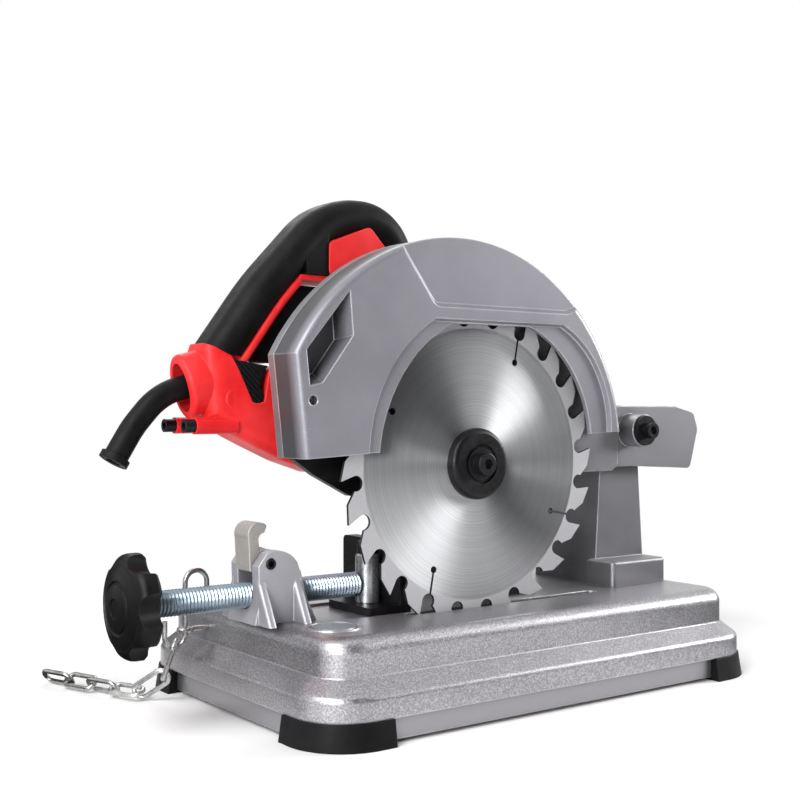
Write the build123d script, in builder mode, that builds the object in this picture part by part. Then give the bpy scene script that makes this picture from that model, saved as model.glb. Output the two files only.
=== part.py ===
from build123d import *
import os
from math import cos, pi, radians, sin, sqrt

# A mini cut-off saw: a motor head with a guarded blade swings on a post over a cast base, and a
# screw vise on the base clamps the work. The origin is the middle of the base on the floor.
# +X runs to the post at the rear, -X to the operator, -Y to the blade side, +Y to the motor side.

# Clearances
fit = 0.1           # seat of a fixed piece in its neighbour
running_fit = 0.2   # between pieces that move on each other
seat_gap = 0.2      # between shells that are drawn up against a curved neighbour
head_room = 0.6     # round a screw head in its recess

# Base casting and feet
base_length = 322
base_width = 206
base_corner = 30
base_wall = 5
lip_z = 13.5            # underside of the casting, on top of the feet
shoulder_z = 25         # where the lower wall starts to turn in
upper_z = 33            # where the upper wall starts
upper_inset = 10.5
deck_z = 53
deck_thickness = 6
deck_edge = 8
shoulder_round = 4
skirt_z = 2
skirt_inset = 3
skirt_wall = 2.5
foot_reach = 43
foot_spread = 3         # how far the foot stands out at the floor
foot_lean = 1           # how far it stands out at the top
foot_screw_inset = 24
foot_screw_radius = 2
foot_screw_length = 24
foot_head_radius = 4
foot_head_height = 3
foot_head_depth = 2     # how far the head stands in from the floor
foot_boss_radius = 7
rib_thickness = 4
rib_height = 10
rib_place = 23          # middle of the rib on the motor side
badge_inset = (32, 43)  # from the front end and the near side of the base
badge_radius = 14.6
badge_height = 0.8
badge_ring = 1.6

# Blade and its axis
blade_x = -26
blade_z = 135
blade_y = -50
blade_radius = 92.5
blade_teeth = 24
blade_thickness = 1.8
tooth_phase = 4.4       # angle of the first tooth tip, degrees
gullet_depth = 13.6
gullet_radius = 4.6
rake_depth = 9
rake_back = 2.4
back_drop = 2.6
back_start = 13.5
slot_reach = 66         # radius of the round end of an expansion slot
slot_hole = 2
slot_width = 1.3
slot_slant = 3          # degrees between the slot's outer and inner end
arbor_radius = 10
blade_slot_start = -75
blade_slot_end = 71
blade_slot_width = 8

# Pivot post and pivot
pivot_inset = 46        # pivot axis in from the rear end of the base
pivot_z = 152.5
plinth_length = 49
plinth_near = -47
plinth_far = -24
plinth_height = 16
plinth_corner = 3
plinth_edge = 2
column_near = -29
column_far = 7
column_foot_far = 27
column_foot_width = 46
column_top_width = 32
column_lean = (102, 116)    # heights between which the foot's far side leans in to the knuckle
pivot_radius = 7
pivot_boss_radius = 10.5
pivot_boss_near = -51
pivot_bolt_radius = 3
pivot_washer_radius = 9.5
pivot_washer_height = 2.2
pivot_head_radius = 5
pivot_head_height = 6
pivot_bolt_length = 14
post_bolt_radius = 4
post_bolt_spread = (30, 48)
bolt_head_radius = 6.5
bolt_head_height = 5

# Head: guard, back plate and gear case
guard_near = -66
guard_seam = -44        # joint between guard and back plate
plate_far = -38
guard_wall = 4
guard_face = 6
guard_edge = 4
guard_step = 3          # depth of the step round the blade hole
step_slope = 22         # lean of the step's wall, degrees
panel_recess = 2.5
panel_corner = 5
window_depth = 12
window_wall = 3
window_narrowing = 0.72 # width of the window's floor over that of its mouth
gauge_hole_radius = 2.5
case_far = -10
case_wall = 4
spindle_case_radius = 41
motor_radius = 46
bearing_plate_far = 0
case_ear_radius = 6
case_screw_length = 24
guard_boss_radius = 4.5
guard_screw_length = 14
head_screw_radius = 2
screw_head_radius = 3.6
screw_head_height = 3
bracket_cheek = 6.5
bracket_web = 8
bracket_reach = 67      # behind the pivot axis
bracket_far = 27
bracket_low = 126
bracket_high = 168
bracket_web_low = 134
bracket_web_high = 163
bracket_round = 4
deflector_thickness = 5
deflector_corner = 2

# Gears and shafts
gear_module = 1.25
pinion_teeth = 10
gear_teeth = 54
gear_tilt = 11.5        # lean of the motor axis from straight above the spindle, degrees
gear_near = -27
gear_far = -15
spindle_radius = 6
spindle_far = -2.5
spindle_bearing_radius = 16
spindle_bearing_width = 10
spindle_bearing_near = -40
bearing_lip = 3         # of the case in front of the bearing
small_bearing_radius = 11
small_bearing_width = 7
small_bearing_near = -9
armature_shaft_radius = 4
inner_flange_radius = 21
inner_flange_height = 4.6
spindle_shoulder = 2.5   # how far the spindle's collars stand out
outer_flange_radius = 20.5
outer_flange_height = 6
arbor_bolt_radius = 4
arbor_head_radius = 6.5
arbor_head_height = 6
arbor_bolt_length = 18
arbor_collar_radius = 9.5
arbor_collar_height = 1.5
flange_edge = 3.5
flange_dish_radius = 11.5
flange_dish_depth = 1.5
socket_radius = 3.4
socket_depth = 3

# Motor
motor_wall = 3
motor_far = 88
pod_far = 62
pod_round = 5
cap_far = 102
stator_near = 22
stator_far = 62
stator_bore = 23
coil_overhang = 7
coil_width = 11
coil_height = 34
coil_offset = 30
coil_round = 3
core_radius = 22
core_slots = 12
core_slot_size = (5, 2.4)
winding_overhang = 5
winding_drop = 5         # of the windings below the core's surface
commutator_radius = 12
commutator_near = 69
commutator_far = 81
commutator_bars = 24
commutator_groove = (2.4, 0.6)
fan_radius = 38
fan_near = 3
fan_far = 13
fan_blades = 14
fan_hub_radius = 10
fan_disc = 2
fan_blade_thickness = 1.6
fan_blade_lean = 25      # degrees from radial
brush_y = 75
brush_size = 7
brush_tube_radius = 6
brush_cap_radius = 7.5
brush_cap_height = 3
rear_bearing_radius = 9.5
rear_bearing_width = 6
rear_bearing_near = 88
cap_ear_radius = 5.5
cap_screw_length = 26
cap_ear_length = 18
cap_ear_drop = 6         # of the screw heads below the end of the cap
cap_round = 6
inlet_circle = 27
inlet_count = 12
inlet_length = 17
inlet_width = 3.4
outlet_size = (12, 3.2, 9)
outlet_step = 6

# Handle
handle_y = 8
handle_width = 32
core_width = 24
core_height = 18.5
core_round = 8
grip_skin = 5            # thickness of the grip on the palm side
strip_height = 1.5       # how far the red core stands out below the grip
flash_corner = 4         # of the red flash on each side of the handle
rim_width = 29           # of the red rim round the finger opening
rim_height = 4.5
rim_round = 2
collar_half_width = 13
collar_half_height = 18
collar_length = 16
collar_stand = 13        # of its mouth from the start of the sleeve
collar_rim = 2.5
collar_bore_width = 8.5
collar_bore_height = 13.5
collar_bore_depth = 9
neck_round = 8
neck_start = -150         # where the handle starts to narrow towards the collar
neck_turn = 60            # radius of the turn there
handle_wall = 3
grip_round = 10.9
bar_foot = (-167, 189.2)
bar_bend = (-135, 233.2)
bar_crown = (-93, 278)
bar_turn = (-47, 278)
bar_root = (-40, 205)
bar_bend_radius = 190
bar_crown_radius = 46
bar_turn_radius = 26
trigger_width = 11
bar_slant = 50          # lean of the bar at its bend, degrees
trigger_reach = 17      # how far it stands out of the bar
trigger_pin_radius = 1.5
trigger_edge = 2
sleeve_radius = 6.5
sleeve_bore = 4
sleeve_flare = 8
sleeve_flare_length = 3.5
sleeve_bends = (38, 60)    # radii of its two bends
sleeve_points = ((-170, 181), (-195, 174.8), (-210.5, 157), (-221.5, 139))

# Vise
screw_y = -17
screw_z = 67
screw_radius = 7
screw_pitch = 2
thread_depth = 0.9
screw_in_knob = 12
shoulder_gap = 1        # between the screw's shoulder and the jaw post
screw_tip_radius = 4
screw_tip_length = 10
knob_length = 19
knob_reach = 63         # from the lever pin to the back of the knob
knob_radius = 27
knob_lobes = 6
knob_dome = 4           # how far the front is crowned
knob_round = 6
knob_edge = 2
knob_hub_radius = 12
knob_hub_height = 3
knob_mark_radius = 5
knob_ring_radius = 13    # of the groove on the front
knob_ring_wire = 0.9
scallop_radius = 10
scallop_place = 31.5
scallop_angle = 57      # of the first scallop, degrees
scallop_lean = 12       # how far it leans out towards the front, degrees
ear_thickness = 7
ear_gap = 16            # between the two ears
lever_pin_inset = 11    # from the front end of the base
lever_pin_z = 84.7
lever_pin_radius = 3
pin_socket_radius = 1.7
pin_socket_depth = 2.5
saddle_height = 13
ear_rib = 5              # thickness of the ribs that brace the ears
ear_rib_reach = 12
ear_rib_top = 79
ear_rib_round = 2
channel_depth = 1.5
channel_near = -44
channel_far = 11
jaw_stand = 72          # from the lever pin to the jaw post
jaw_post_radius = 7
jaw_post_top = 84
jaw_width = 42
jaw_reach = 16            # how far the upright stands out past its foot on the far side
jaw_thickness = 7.5
jaw_top = 91
jaw_corner = 3
jaw_foot_height = 4.3
jaw_foot_length = 28
jaw_stud_radius = 4
jaw_bolt_radius = 3
jaw_bolt_length = 8
jaw_cap_radius = 6
jaw_cap_height = 7
jaw_cap_round = 1.5
fence_x = 8
fence_thickness = 5.5
fence_near = -30
fence_length = 94
fence_top = 92
fence_corner = 4
fence_foot = 26
fence_slot = 18
fence_bolt_spread = 50

# Hold-down hook and chain
hook_y = 40
hook_wire = 1.5
hook_stand = 3.4        # middle of the shank in front of the end wall
hook_low = 38
hook_high = 67.5
hook_low_bend = 6.3
hook_high_bend = 6.8
hook_tail = 9
hook_lip = 4
eye_wire = 1.6
eye_z = 41
link_length = 26
link_width = 11.5
link_wire = 1.4
link_play = 1
link_lean = 20          # of the first link from upright, degrees
link_roll = 52          # of the links that lie on the floor, degrees

# Return spring round the pivot shaft
spring_wire = 1.3
spring_radius = 11
spring_turns = 3
spring_leg = 8

os.makedirs("parts", exist_ok=True)

# Places worked out from the sizes above
foot_height = lip_z
spindle_axis = (blade_x, blade_z)
gear_distance = gear_module * (pinion_teeth + gear_teeth) / 2
motor_x = blade_x + gear_distance * sin(radians(gear_tilt))
motor_z = blade_z + gear_distance * cos(radians(gear_tilt))
motor_axis = (motor_x, motor_z)
base_front = -base_length / 2
base_near = -base_width / 2
badge_place = (base_front + badge_inset[0], base_near + badge_inset[1])
pivot_x = base_length / 2 - pivot_inset
pivot_axis = (pivot_x, pivot_z)
bracket_rear = pivot_x + bracket_reach
lever_pin_x = base_front + lever_pin_inset
knob_end = lever_pin_x - knob_reach
knob_start = knob_end - knob_length
screw_start = knob_end - screw_in_knob
jaw_post_x = lever_pin_x + jaw_stand
screw_shoulder = jaw_post_x - jaw_post_radius - shoulder_gap
hook_shank_x = base_front - hook_stand
plate_thickness = plate_far - guard_seam
blade_near = blade_y - blade_thickness / 2
blade_far = blade_y + blade_thickness / 2
deck_under = deck_z - deck_thickness
floor_of_channel = deck_z - channel_depth
cheek_far = plate_far + bracket_cheek
far_cheek_near = bracket_far - bracket_cheek


def side(y):
    """Upright plane at y, seen from the blade side: local x is X, local y is Z."""
    return Plane.XZ.offset(-y)


def disc(axis, y_near, y_far, radius, mode=Mode.ADD):
    """Round bar along Y about an (x, z) axis."""
    with Locations((axis[0], (y_near + y_far) / 2, axis[1])):
        Cylinder(radius, y_far - y_near, rotation=(90, 0, 0), mode=mode)


def rod(x_start, x_end, y, z, radius, mode=Mode.ADD):
    """Round bar along X."""
    with Locations(((x_start + x_end) / 2, y, z)):
        Cylinder(radius, x_end - x_start, rotation=(0, 90, 0), mode=mode)


def peg(x, y, z_low, z_high, radius, mode=Mode.ADD):
    """Round bar along Z."""
    with Locations((x, y, (z_low + z_high) / 2)):
        Cylinder(radius, z_high - z_low, mode=mode)


def block(x_range, y_range, z_range, mode=Mode.ADD):
    """Rectangular block between two corners."""
    centre = [(low + high) / 2 for low, high in (x_range, y_range, z_range)]
    size = [high - low for low, high in (x_range, y_range, z_range)]
    with Locations(tuple(centre)):
        Box(*size, mode=mode)


def outline(points):
    """Closed straight-sided face on the plane y = 0."""
    with BuildSketch(Plane.XZ) as face:
        with BuildLine():
            Polyline(*points, close=True)
        make_face()
    return face.sketch


def rounded_outline(points, radius):
    """Closed face on the plane y = 0 with straight sides and rounded corners."""
    with BuildSketch(Plane.XZ) as face:
        with BuildLine():
            FilletPolyline(*points, radius=radius, close=True)
        make_face()
    return face.sketch


def slab(face, y_near, y_far, mode=Mode.ADD):
    """Plate of a face drawn at y = 0, moved to lie between two Y values."""
    extrude(Pos(0, y_far, 0) * face, amount=y_far - y_near, mode=mode)


def case_outline(grow=0.0):
    """Rounded outline round the spindle and the motor axis, at y = 0."""
    with BuildSketch(Plane.XZ) as face:
        with Locations(spindle_axis):
            Circle(spindle_case_radius + grow)
        with Locations(motor_axis):
            Circle(motor_radius + grow)
        make_hull()
    return face.sketch


def around(axis, radius, angle):
    """Point at a radius and an angle in degrees from an (x, z) axis."""
    return (axis[0] + radius * cos(radians(angle)), axis[1] + radius * sin(radians(angle)))


def y_screw(axis, y_face, toward, shank, length, head=screw_head_radius, rise=screw_head_height):
    """Socket screw along Y: its head stands on y_face, its shank runs the way of toward (+1 or -1)."""
    low, high = sorted((y_face, y_face + toward * length))
    disc(axis, low, high, shank)
    low, high = sorted((y_face, y_face - toward * rise))
    disc(axis, low, high, head)
    top = y_face - toward * rise
    low, high = sorted((top, top + toward * rise / 2))
    disc(axis, low, high, shank * 0.9, mode=Mode.SUBTRACT)


def z_screw(x, y, z_face, toward, shank, length, head, rise):
    """Screw along Z: its head stands on z_face, its shank runs the way of toward (+1 or -1)."""
    low, high = sorted((z_face, z_face + toward * length))
    peg(x, y, low, high, shank)
    low, high = sorted((z_face, z_face - toward * rise))
    with BuildSketch(Plane.XY.offset(low)) as hexagon:
        with Locations((x, y)):
            RegularPolygon(head, 6)
    extrude(hexagon.sketch, amount=high - low)


def write(piece, name):
    piece.part.label = name
    export_step(piece.part, f"parts/{name}.step")


# Base: a stepped box open below, with a blade slot and a shallow channel for the jaw
foot_screw_places = [
    (sx * (base_length / 2 - foot_screw_inset), sy * (base_width / 2 - foot_screw_inset))
    for sx in (-1, 1)
    for sy in (-1, 1)
]
post_y = (plinth_near + column_foot_far) / 2
post_bolt_places = [
    (pivot_x + sx * post_bolt_spread[0] / 2, post_y + sy * post_bolt_spread[1] / 2)
    for sx in (-1, 1)
    for sy in (-1, 1)
]
fence_bolt_x = fence_x + fence_thickness + fence_foot / 2
fence_bolt_y = fence_near + fence_length / 2
fence_bolt_places = [(fence_bolt_x, fence_bolt_y + s * fence_bolt_spread / 2) for s in (-1, 1)]
bracket_x = lever_pin_x + 10.5
bracket_screw_places = [(bracket_x, screw_y + s * (ear_gap + ear_thickness) / 2) for s in (-1, 1)]
channel_start = bracket_x + 17.5
upper_length = base_length - 2 * upper_inset
upper_width = base_width - 2 * upper_inset
upper_corner = base_corner - upper_inset
hollow_length = upper_length - 2 * base_wall
hollow_width = upper_width - 2 * base_wall
foot_screw_seat = foot_head_height + foot_head_depth
foot_screw_end = foot_screw_seat + foot_screw_length

with BuildPart() as base:
    with BuildSketch(Plane.XY.offset(lip_z)):
        RectangleRounded(base_length, base_width, base_corner)
    extrude(amount=shoulder_z - lip_z)
    with BuildSketch(Plane.XY.offset(shoulder_z)):
        RectangleRounded(base_length, base_width, base_corner)
    with BuildSketch(Plane.XY.offset(upper_z)):
        RectangleRounded(upper_length, upper_width, upper_corner)
    loft()
    with BuildSketch(Plane.XY.offset(upper_z)):
        RectangleRounded(upper_length, upper_width, upper_corner)
    extrude(amount=deck_z - upper_z)
    fillet([e for e in base.edges() if abs(e.center().Z - shoulder_z) < 0.01], shoulder_round)
    fillet(base.faces().sort_by(Axis.Z)[-1].edges(), deck_edge)
    with BuildSketch(Plane.XY.offset(lip_z)):
        RectangleRounded(hollow_length, hollow_width, upper_corner - base_wall)
    extrude(amount=deck_under - lip_z, mode=Mode.SUBTRACT)
    with BuildSketch(Plane.XY.offset(lip_z)):
        RectangleRounded(base_length - 2 * base_wall, base_width - 2 * base_wall, base_corner - base_wall)
    extrude(amount=shoulder_z - base_wall - lip_z, mode=Mode.SUBTRACT)
    # Inset skirt between the feet
    skirt_x = base_length / 2 - foot_reach + foot_spread - fit
    skirt_y = base_width / 2 - foot_reach + foot_spread - fit
    for s in (-1, 1):
        far_edge = s * (base_width / 2 - skirt_inset)
        block((-skirt_x, skirt_x), sorted((far_edge, far_edge - s * skirt_wall)), (skirt_z, lip_z + 1))
        end_edge = s * (base_length / 2 - skirt_inset)
        block(sorted((end_edge, end_edge - s * skirt_wall)), (-skirt_y, skirt_y), (skirt_z, lip_z + 1))
    # Bosses under the deck for the foot screws
    for x, y in foot_screw_places:
        peg(x, y, lip_z, deck_under + 1, foot_boss_radius)
        peg(x, y, lip_z, foot_screw_end + 1, foot_screw_radius + fit, mode=Mode.SUBTRACT)
    # Two ribs stiffen the deck on either side of the blade slot
    for y in (blade_y - blade_slot_width - rib_thickness, rib_place):
        rib_sides = (y - rib_thickness / 2, y + rib_thickness / 2)
        block((-hollow_length / 2, hollow_length / 2), rib_sides, (deck_under - rib_height, deck_under))
    with BuildSketch(Plane.XY.offset(deck_z)):
        with Locations(((blade_slot_start + blade_slot_end) / 2, blade_y)):
            SlotOverall(blade_slot_end - blade_slot_start, blade_slot_width)
    extrude(amount=-deck_thickness - rib_height - 1, mode=Mode.SUBTRACT)
    jaw_run = (channel_start, fence_x - 1)
    block(jaw_run, (channel_near, channel_far), (floor_of_channel, deck_z + 1), mode=Mode.SUBTRACT)
    for x, y in post_bolt_places + fence_bolt_places:
        peg(x, y, deck_under - 1, deck_z + 1, post_bolt_radius + fit, mode=Mode.SUBTRACT)
    for x, y in bracket_screw_places:
        peg(x, y, deck_under - 1, deck_z + 1, foot_screw_radius + fit, mode=Mode.SUBTRACT)
    rod(-base_length / 2, 1 - hollow_length / 2, hook_y, eye_z, eye_wire + fit, mode=Mode.SUBTRACT)
    # Plain round badge on the deck
    peg(*badge_place, deck_z - 1, deck_z + badge_height, badge_radius)
    peg(*badge_place, deck_z, deck_z + badge_height, badge_radius - badge_ring, mode=Mode.SUBTRACT)
    peg(*badge_place, deck_z - 1, deck_z + badge_height, badge_radius - 2 * badge_ring)
write(base, "base")

# Rubber feet wrap the corners of the base
foot_names = {
    (-1, -1): "foot_front_near",
    (-1, 1): "foot_front_far",
    (1, -1): "foot_rear_near",
    (1, 1): "foot_rear_far",
}
for (sx, sy), foot_name in foot_names.items():
    with BuildPart() as foot:
        for z, spread in ((0, foot_spread), (foot_height, foot_lean)):
            with BuildSketch(Plane.XY.offset(z)):
                RectangleRounded(base_length + 2 * spread, base_width + 2 * spread, base_corner + spread)
                reach_x = base_length / 2 + foot_spread - foot_reach / 2
                reach_y = base_width / 2 + foot_spread - foot_reach / 2
                with Locations((sx * reach_x, sy * reach_y)):
                    Rectangle(foot_reach, foot_reach, mode=Mode.INTERSECT)
        loft()
        x = sx * (base_length / 2 - foot_screw_inset)
        y = sy * (base_width / 2 - foot_screw_inset)
        peg(x, y, -1, foot_height + 1, foot_screw_radius + fit, mode=Mode.SUBTRACT)
        peg(x, y, -1, foot_screw_seat, foot_head_radius + head_room, mode=Mode.SUBTRACT)
    write(foot, foot_name)

foot_screw = (foot_screw_radius, foot_screw_length, foot_head_radius, foot_head_height)
with BuildPart() as base_screws:
    for x, y in foot_screw_places:
        z_screw(x, y, foot_screw_seat, 1, *foot_screw)
    for x, y in bracket_screw_places:
        z_screw(x, y, deck_under, 1, *foot_screw)
write(base_screws, "base_screws")

# Pivot post: tapered column with a deep foot, a round knuckle and a plinth on the blade side
with BuildPart() as pivot_post:
    plinth_ends = (pivot_x - plinth_length / 2, pivot_x + plinth_length / 2)
    plinth_top = deck_z + plinth_height
    block(plinth_ends, (plinth_near, plinth_far), (deck_z, plinth_top))
    fillet(pivot_post.edges().filter_by(Axis.Z).sort_by(Axis.Y)[:2], plinth_corner)
    fillet(pivot_post.faces().sort_by(Axis.Z)[-1].edges(), plinth_edge)
    knuckle = column_top_width / 2
    knuckle_left = (pivot_x - knuckle, pivot_z)
    knuckle_right = (pivot_x + knuckle, pivot_z)
    with BuildSketch(side(column_foot_far)):
        with BuildLine():
            Polyline(
                knuckle_left,
                (pivot_x - column_foot_width / 2, deck_z),
                (pivot_x + column_foot_width / 2, deck_z),
                knuckle_right,
            )
            ThreePointArc(knuckle_right, (pivot_x, pivot_z + knuckle), knuckle_left)
        make_face()
    extrude(amount=column_foot_far - column_near)
    lean_low, lean_high = column_lean
    over_knuckle = pivot_z + column_top_width
    with BuildSketch(Plane.YZ.offset(pivot_x - column_foot_width)):
        with BuildLine():
            Polyline(
                (column_far, lean_high),
                (column_foot_far, lean_low),
                (column_foot_far + 1, lean_low),
                (column_foot_far + 1, over_knuckle),
                (column_far, over_knuckle),
                close=True,
            )
        make_face()
    extrude(amount=2 * column_foot_width, mode=Mode.SUBTRACT)
    disc(pivot_axis, column_near - 1, column_far + 1, pivot_radius + running_fit, mode=Mode.SUBTRACT)
    for x, y in post_bolt_places:
        peg(x, y, deck_z - 1, plinth_top - plinth_corner, post_bolt_radius + fit, mode=Mode.SUBTRACT)
write(pivot_post, "pivot_post")

# Vise bracket: two ears on a saddle that carries the screw
ear_near = screw_y - ear_gap / 2 - ear_thickness
ear_far = screw_y + ear_gap / 2 + ear_thickness
ear_left = lever_pin_x - 7.5
ear_right = lever_pin_x + 19
with BuildPart() as vise_bracket:
    with BuildSketch(side(ear_far)):
        with BuildLine():
            Polyline(
                (ear_left + 5, lever_pin_z + 5.5),
                (ear_left, lever_pin_z - 1),
                (ear_left + 0.5, deck_z + 12),
                (ear_left - 2, deck_z),
                (ear_right + 9, deck_z),
                (ear_right + 3, deck_z + 12),
                (ear_right, lever_pin_z - 8),
                (ear_right - 3, lever_pin_z),
            )
            ThreePointArc(
                (ear_right - 3, lever_pin_z),
                (lever_pin_x + 8, lever_pin_z + 6),
                (ear_left + 5, lever_pin_z + 5.5),
            )
        make_face()
    extrude(amount=ear_far - ear_near)
    # Ribs brace both ears against the deck
    for x in (ear_left, ear_right - ear_rib):
        for face_y, s in ((ear_near, -1), (ear_far, 1)):
            with BuildPart() as rib:
                with BuildSketch(Plane.YZ.offset(x)):
                    with BuildLine():
                        rib_foot = face_y + s * ear_rib_reach
                        root_y = face_y - s * ear_rib_round
                        Polyline((root_y, ear_rib_top), (rib_foot, deck_z), (root_y, deck_z), close=True)
                    make_face()
                extrude(amount=ear_rib)
                slope_face = rib.faces().filter_by(Axis.X, reverse=True).sort_by(Axis.Z)[-1]
                fillet(slope_face.edges().filter_by(Axis.X, reverse=True), ear_rib_round)
            add(rib.part)
    gap_near = screw_y - ear_gap / 2
    gap_far = screw_y + ear_gap / 2
    past = (ear_left - 20, ear_right + 20)
    block(past, (gap_near, gap_far), (deck_z + saddle_height, lever_pin_z + 20), mode=Mode.SUBTRACT)
    rod(*past, screw_y, screw_z, screw_radius + running_fit, mode=Mode.SUBTRACT)
    disc((lever_pin_x, lever_pin_z), ear_near - 1, ear_far + 1, lever_pin_radius + fit, mode=Mode.SUBTRACT)
    for x, y in bracket_screw_places:
        hole_end = deck_under + foot_screw_length + 1
        peg(x, y, deck_z - 1, hole_end, foot_screw_radius + fit, mode=Mode.SUBTRACT)
write(vise_bracket, "vise_bracket")

with BuildPart() as lever_pin:
    disc((lever_pin_x, lever_pin_z), ear_near - 0.6, ear_far + 0.6, lever_pin_radius)
    chamfer(lever_pin.edges().filter_by(GeomType.CIRCLE), 0.5)
    socket_ends = (ear_near - 1, ear_near + pin_socket_depth)
    disc((lever_pin_x, lever_pin_z), *socket_ends, pin_socket_radius, mode=Mode.SUBTRACT)
write(lever_pin, "lever_pin")

# Quick-release lever: thumb tab above the pin, half nut beside it on the screw
lever_half = ear_gap / 2 - running_fit - fit
nut_low = screw_z + 0.8
with BuildPart() as half_nut_lever:
    with BuildSketch(side(screw_y + lever_half)):
        with BuildLine():
            Polyline(
                (lever_pin_x + 3, nut_low),
                (lever_pin_x + 23, nut_low),
                (lever_pin_x + 23, lever_pin_z - 7),
            )
            ThreePointArc(
                (lever_pin_x + 23, lever_pin_z - 7),
                (lever_pin_x + 13, lever_pin_z + 3.5),
                (lever_pin_x - 3, lever_pin_z + 6.5),
            )
            Polyline((lever_pin_x - 3, lever_pin_z + 6.5), (lever_pin_x - 3.5, lever_pin_z + 12))
            ThreePointArc(
                (lever_pin_x - 3.5, lever_pin_z + 12),
                (lever_pin_x - 2.5, lever_pin_z + 14.8),
                (lever_pin_x, lever_pin_z + 16),
            )
            Polyline((lever_pin_x, lever_pin_z + 16), (lever_pin_x + 1.5, lever_pin_z + 19.7))
            ThreePointArc(
                (lever_pin_x + 1.5, lever_pin_z + 19.7),
                (lever_pin_x - 6.5, lever_pin_z + 20.6),
                (lever_pin_x - 9.5, lever_pin_z + 13),
            )
            Polyline(
                (lever_pin_x - 9.5, lever_pin_z + 13),
                (lever_pin_x - 8.5, lever_pin_z - 4),
                (lever_pin_x + 3, lever_pin_z - 8),
                (lever_pin_x + 3, nut_low),
            )
        make_face()
    extrude(amount=2 * lever_half)
    nut_radius = screw_radius + running_fit + fit
    rod(lever_pin_x - 30, lever_pin_x + 30, screw_y, screw_z, nut_radius, mode=Mode.SUBTRACT)
    pin_hole = lever_pin_radius + running_fit
    disc((lever_pin_x, lever_pin_z), ear_near, ear_far, pin_hole, mode=Mode.SUBTRACT)
    tab_edges = half_nut_lever.edges().filter_by(Axis.Y).group_by(Axis.Z)[-1]
    fillet(tab_edges, 1)
write(half_nut_lever, "half_nut_lever")

# Vise screw: ridged rod with a plain tip in the jaw post
with BuildPart() as vise_screw:
    thread_start = knob_end + 1
    ridges = int((screw_shoulder - thread_start) / screw_pitch)
    with BuildSketch(Plane.XY.offset(screw_z)):
        with BuildLine():
            root = screw_radius - thread_depth
            points = [(screw_start, 0), (screw_start, root), (thread_start, root)]
            for i in range(ridges):
                x = thread_start + i * screw_pitch
                points.append((x + screw_pitch / 2, screw_radius))
                points.append((x + screw_pitch, root))
            points.append((screw_shoulder, screw_tip_radius))
            tip = screw_shoulder + screw_tip_length
            points += [(tip, screw_tip_radius), (tip, 0)]
            Polyline(*[(x, r + screw_y) for x, r in points], close=True)
        make_face()
    revolve(axis=Axis((0, screw_y, screw_z), (1, 0, 0)))
write(vise_screw, "vise_screw")

# Star knob: a domed disc with six finger scallops that fade out towards its front
knob_back = knob_end - knob_hub_height
crown_x = knob_start + knob_dome
rim_y = screw_y + knob_radius - knob_round
with BuildPart() as vise_knob:
    with BuildSketch(Plane.XY.offset(screw_z)):
        with BuildLine():
            quarter_y = (screw_y + rim_y) / 2
            ThreePointArc((knob_start, screw_y), (knob_start + knob_dome / 4, quarter_y), (crown_x, rim_y))
            turn_in = knob_round * (1 - cos(radians(45)))
            turn_out = knob_round * sin(radians(45))
            rim_end = (crown_x + knob_round, screw_y + knob_radius)
            ThreePointArc((crown_x, rim_y), (crown_x + turn_in, rim_y + turn_out), rim_end)
            Polyline(
                rim_end,
                (knob_back - knob_edge, screw_y + knob_radius),
                (knob_back, screw_y + knob_radius - knob_edge),
                (knob_back, screw_y),
                (knob_start, screw_y),
            )
        make_face()
    revolve(axis=Axis((0, screw_y, screw_z), (1, 0, 0)))
    for i in range(knob_lobes):
        turn = radians(scallop_angle + 360 * i / knob_lobes)
        out = Vector(0, cos(turn), sin(turn))
        middle = Vector((knob_start + knob_end) / 2, screw_y, screw_z) + out * scallop_place
        way = Vector(-cos(radians(scallop_lean)), 0, 0) + out * sin(radians(scallop_lean))
        with BuildSketch(Plane(middle, z_dir=way)):
            Circle(scallop_radius)
        extrude(amount=knob_radius, both=True, mode=Mode.SUBTRACT)
    rod(knob_start - 1, knob_start + 1, screw_y, screw_z, knob_mark_radius, mode=Mode.SUBTRACT)
    crown_half = knob_radius - knob_round
    crown_radius = (crown_half ** 2 + knob_dome ** 2) / (2 * knob_dome)
    ring_x = knob_start + crown_radius - sqrt(crown_radius ** 2 - knob_ring_radius ** 2)
    with Locations((ring_x, screw_y, screw_z)):
        Torus(knob_ring_radius, knob_ring_wire, rotation=(0, 90, 0), mode=Mode.SUBTRACT)
    rod(knob_back - 1, knob_end, screw_y, screw_z, knob_hub_radius)
    rod(screw_start, knob_end + 1, screw_y, screw_z, screw_radius - thread_depth + fit, mode=Mode.SUBTRACT)
write(vise_knob, "vise_knob")

# Jaw: a post on the end of the screw, and a plate that swivels on the post
jaw_low = floor_of_channel + running_fit
post_low = jaw_low + jaw_foot_height + running_fit
with BuildPart() as jaw_post:
    peg(jaw_post_x, screw_y, post_low, jaw_post_top, jaw_post_radius)
    chamfer(jaw_post.faces().sort_by(Axis.Z)[-1].edges(), 1)
    peg(jaw_post_x, screw_y, jaw_low + 0.4, post_low + 1, jaw_stud_radius)
    tip_end = screw_shoulder + screw_tip_length + running_fit
    tip_hole = screw_tip_radius + running_fit
    rod(jaw_post_x - 10, tip_end, screw_y, screw_z, tip_hole, mode=Mode.SUBTRACT)
    bolt_hole = (jaw_post_top - jaw_bolt_length - 1, jaw_post_top + 1, jaw_bolt_radius + fit)
    peg(jaw_post_x, screw_y, *bolt_hole, mode=Mode.SUBTRACT)
write(jaw_post, "jaw_post")

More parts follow.
